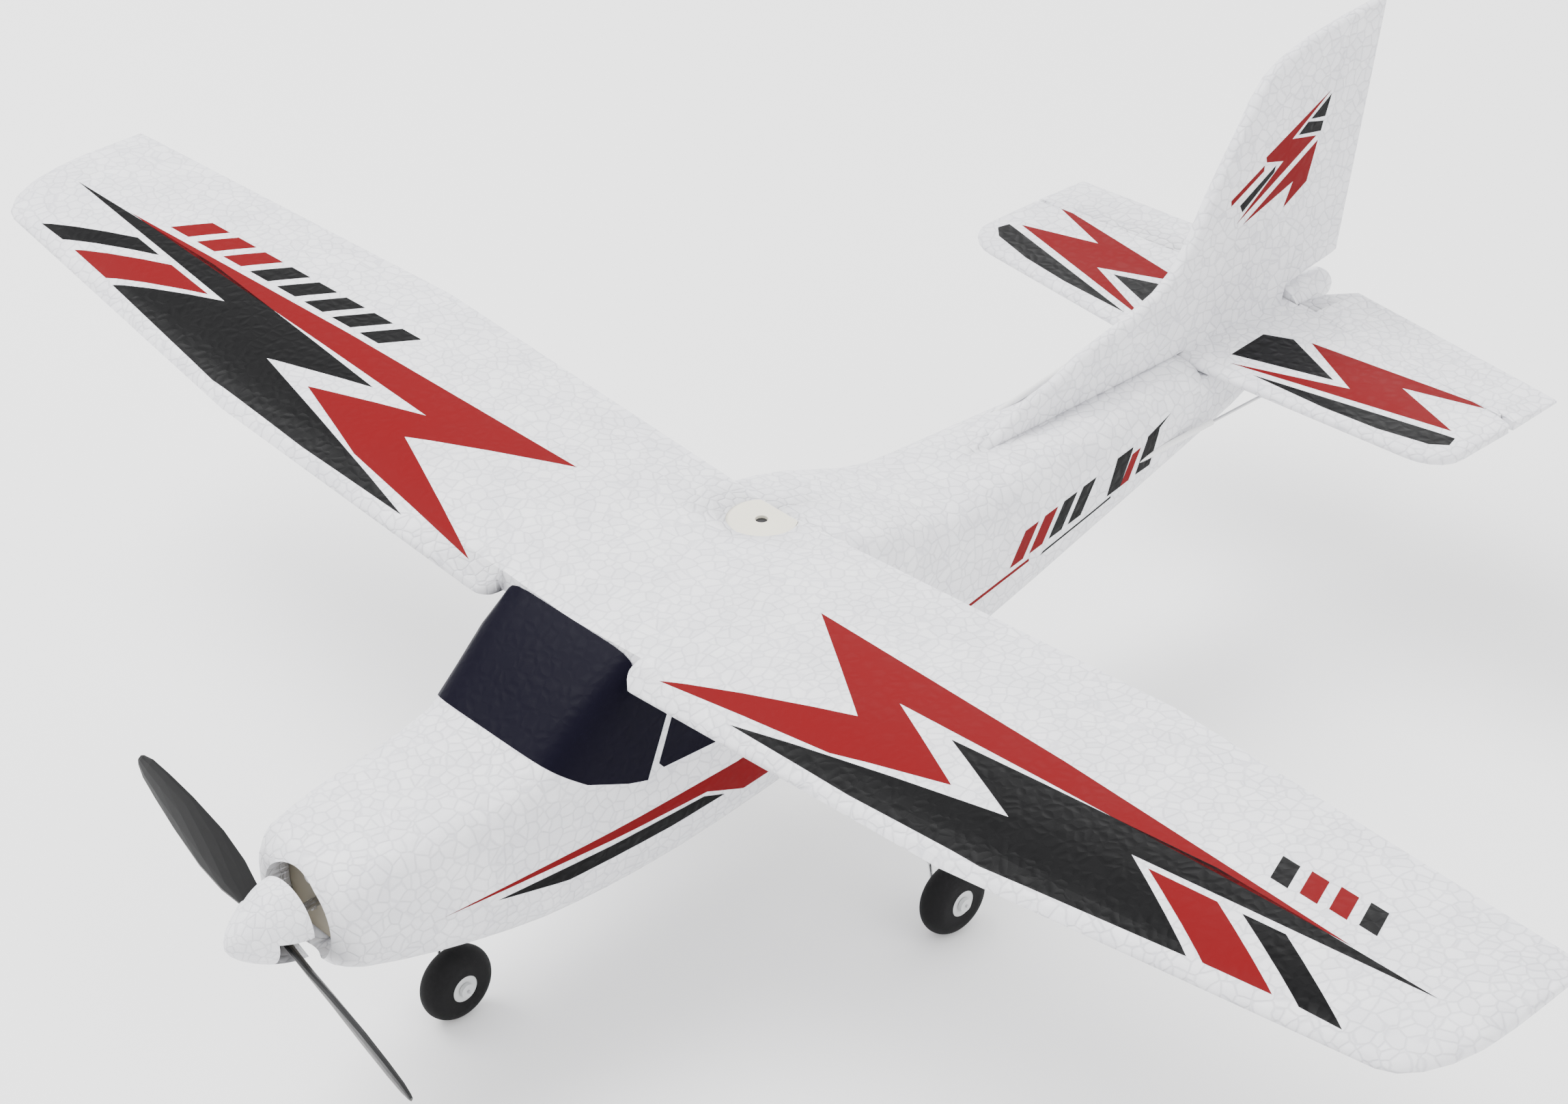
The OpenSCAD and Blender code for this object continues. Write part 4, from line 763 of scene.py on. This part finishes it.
@dataclass(frozen=True)
class Windshield:
    """The dark film over the sloping windshield, wrapped onto both cabin sides.

    Each cut is a plane: a place on it, in millimetres from the datum, and its outward direction.
    """

    cuts: tuple[tuple[Scale, Scale], ...] = (
        ((0, -126.3, -31.2), (0, -0.85, -0.53)), ((0, -84.5, -51.5), (0, 0.93, -0.36)),
        ((0, -106, -41.4), (0, -0.42, -0.91)), ((0, -73.5, -26), (0, 1.0, -0.42)),
        ((0, -116, -34.6), (0, -0.62, -0.78)), ((0, -95, -46.9), (0, -0.3, -0.95)))
    axis_z: float = -48.0
    roof_y: float = -86.3
    seam_mm: float = 0.4
    weld_mm: float = 0.2
    lift_mm: float = 0.1
    thick_mm: float = 0.08
    sharp_degrees: float = 50.0

    def build(self) -> None:
        """Cuts the film out of both fuselage halves' outer faces and wraps it on."""
        mesh = merged_copy("fuselage_left_half", "fuselage_right_half")
        axis = Airframe.place(0, 0, self.axis_z)
        roof = Airframe.place(0, self.roof_y, 0).y
        hidden = [face for face in mesh.faces if self._is_hidden(face, axis.z, roof)]
        bmesh.ops.delete(mesh, geom=hidden, context="FACES")
        bmesh.ops.remove_doubles(mesh, verts=mesh.verts, dist=self.weld_mm * MM)
        for place, out in self.cuts:
            cut_off(mesh, Airframe.place(*place), Vector(out))
        thicken(mesh, self.lift_mm, self.thick_mm)
        film = add_piece("windshield_film", mesh, SCREEN, "airframe")
        soften(film.data, self.sharp_degrees)

    def _is_hidden(self, face: bmesh.types.BMFace, axis_z: float, roof: float) -> bool:
        """Tells the joint, the wing's seat and the inner faces from the cabin's outside.

        Args:
            face: A face of a fuselage half.
            axis_z: Height of the cabin's middle.
            roof: The Y behind which the cabin's top is the wing's seat.

        Returns:
            Whether the film leaves the face out.
        """
        middle = face.calc_center_median()
        seam = abs(middle.x) < self.seam_mm * MM and abs(face.normal.x) > 0.7
        seat = middle.y > roof and face.normal.z > 0.45
        inside = face.normal.dot(Vector((middle.x, 0, middle.z - axis_z))) <= 0
        return seam or seat or inside or face.normal.y > 0.6


@dataclass(frozen=True)
class Fittings:
    """Every other CAD node keeps its shape and gets its slot's finish, except the motor mount,
    which gets a darker copy of the cream plastic: painted shade for its place in the nose behind
    the spinner.
    """

    shaded_node: str = "motor_mount"

    def dress(self) -> None:
        """Assigns a finish to each node by its material slot."""
        slots = {row["node"]: row["material_slot"] for row in frame["record"]["subparts"]}
        for name, node in frame["nodes"].items():
            # the motor mount takes the darker copy of the cream plastic: painted shade
            finish = SHADE_DARKENED_CREAM if name == self.shaded_node else FINISHES.get(slots[name], FOAM)
            node.data.materials.clear()
            node.data.materials.append(Library.get(finish))


@dataclass(frozen=True)
class Studio:
    """Camera, soft lights and a pale floor."""

    distance_mm: Scale = (774.8, -714.2, 683.2)
    azimuth: float = 46.91
    elevation: float = 33.48
    roll: float = -0.09
    lens_mm: float = 83.42
    sensor_mm: float = 36.0
    far_m: float = 50.0
    floor_m: float = 14.0
    lamps: tuple[tuple[str, Scale, float, float], ...] = (
        ("key", (-1.1, -0.7, 2.1), 1.5, 95.0), ("fill", (2.3, 0.4, 1.5), 2.2, 42.0),
        ("back", (-0.8, 2.2, 1.6), 2.0, 36.0))
    aim: Scale = (0, 0, 0.1)
    sky: float = 1.75

    def build(self) -> None:
        """Makes the camera, the lights, the floor and the world."""
        self._camera()
        self._floor()
        for name, place, size, power in self.lamps:
            self._light(name, place, size, power)
        world = bpy.data.worlds.new("studio")
        bpy.context.scene.world = world
        world.use_nodes = True
        shade = world.node_tree.nodes["Background"]
        shade.inputs["Color"].default_value = (1.0, 1.0, 1.0, 1.0)
        shade.inputs["Strength"].default_value = self.sky

    def _camera(self) -> None:
        """Stands the camera in front of the left wing, above it."""
        camera = bpy.data.cameras.new("camera")
        camera.lens = self.lens_mm
        camera.sensor_width = self.sensor_mm
        camera.clip_end = self.far_m
        holder = bpy.data.objects.new("camera", camera)
        bpy.context.scene.collection.objects.link(holder)
        a, e = math.radians(self.azimuth), math.radians(self.elevation)
        back = Vector((math.sin(a) * math.cos(e), -math.cos(a) * math.cos(e), math.sin(e)))
        turn = (-back).to_track_quat("-Z", "Y").to_matrix().to_4x4()
        turn = turn @ Matrix.Rotation(math.radians(self.roll), 4, "Z")
        holder.matrix_world = Matrix.Translation(Airframe.place(*self.distance_mm)) @ turn
        bpy.context.scene.camera = holder

    def _floor(self) -> None:
        """A wide pale floor just under the wheels."""
        mesh = bmesh.new()
        bmesh.ops.create_grid(mesh, x_segments=1, y_segments=1, size=self.floor_m)
        data = bpy.data.meshes.new("floor")
        mesh.to_mesh(data)
        mesh.free()
        floor = bpy.data.objects.new("floor", data)
        bpy.context.scene.collection.objects.link(floor)
        shader = Shader("floor")
        mottle = shader.noise(3.0)
        shader.set(Base_Color=shader.mix(mottle, (0.86, 0.86, 0.86), (0.88, 0.88, 0.88)),
                   Roughness=0.8)
        data.materials.append(shader.material)

    def _light(self, name: str, place: Scale, size: float, power: float) -> None:
        """A square soft box that looks at the airplane.

        Args:
            name: The light's name.
            place: Where it hangs, in metres.
            size: The length of its side in metres.
            power: Its power in watts.
        """
        lamp = bpy.data.lights.new(name, "AREA")
        lamp.energy = power
        lamp.size = size
        holder = bpy.data.objects.new(name, lamp)
        bpy.context.scene.collection.objects.link(holder)
        spot = Vector(place)
        turn = (Vector(self.aim) - spot).to_track_quat("-Z", "Y").to_matrix().to_4x4()
        holder.matrix_world = Matrix.Translation(spot) @ turn


def main() -> None:
    """Builds the looks in order."""
    logging.basicConfig(level=logging.INFO, format="%(name)s: %(message)s")
    Studio().build()
    Fittings().dress()
    Mouldings().build()
    Livery().build()
    Windshield().build()


if __name__ == "__main__":
    main()
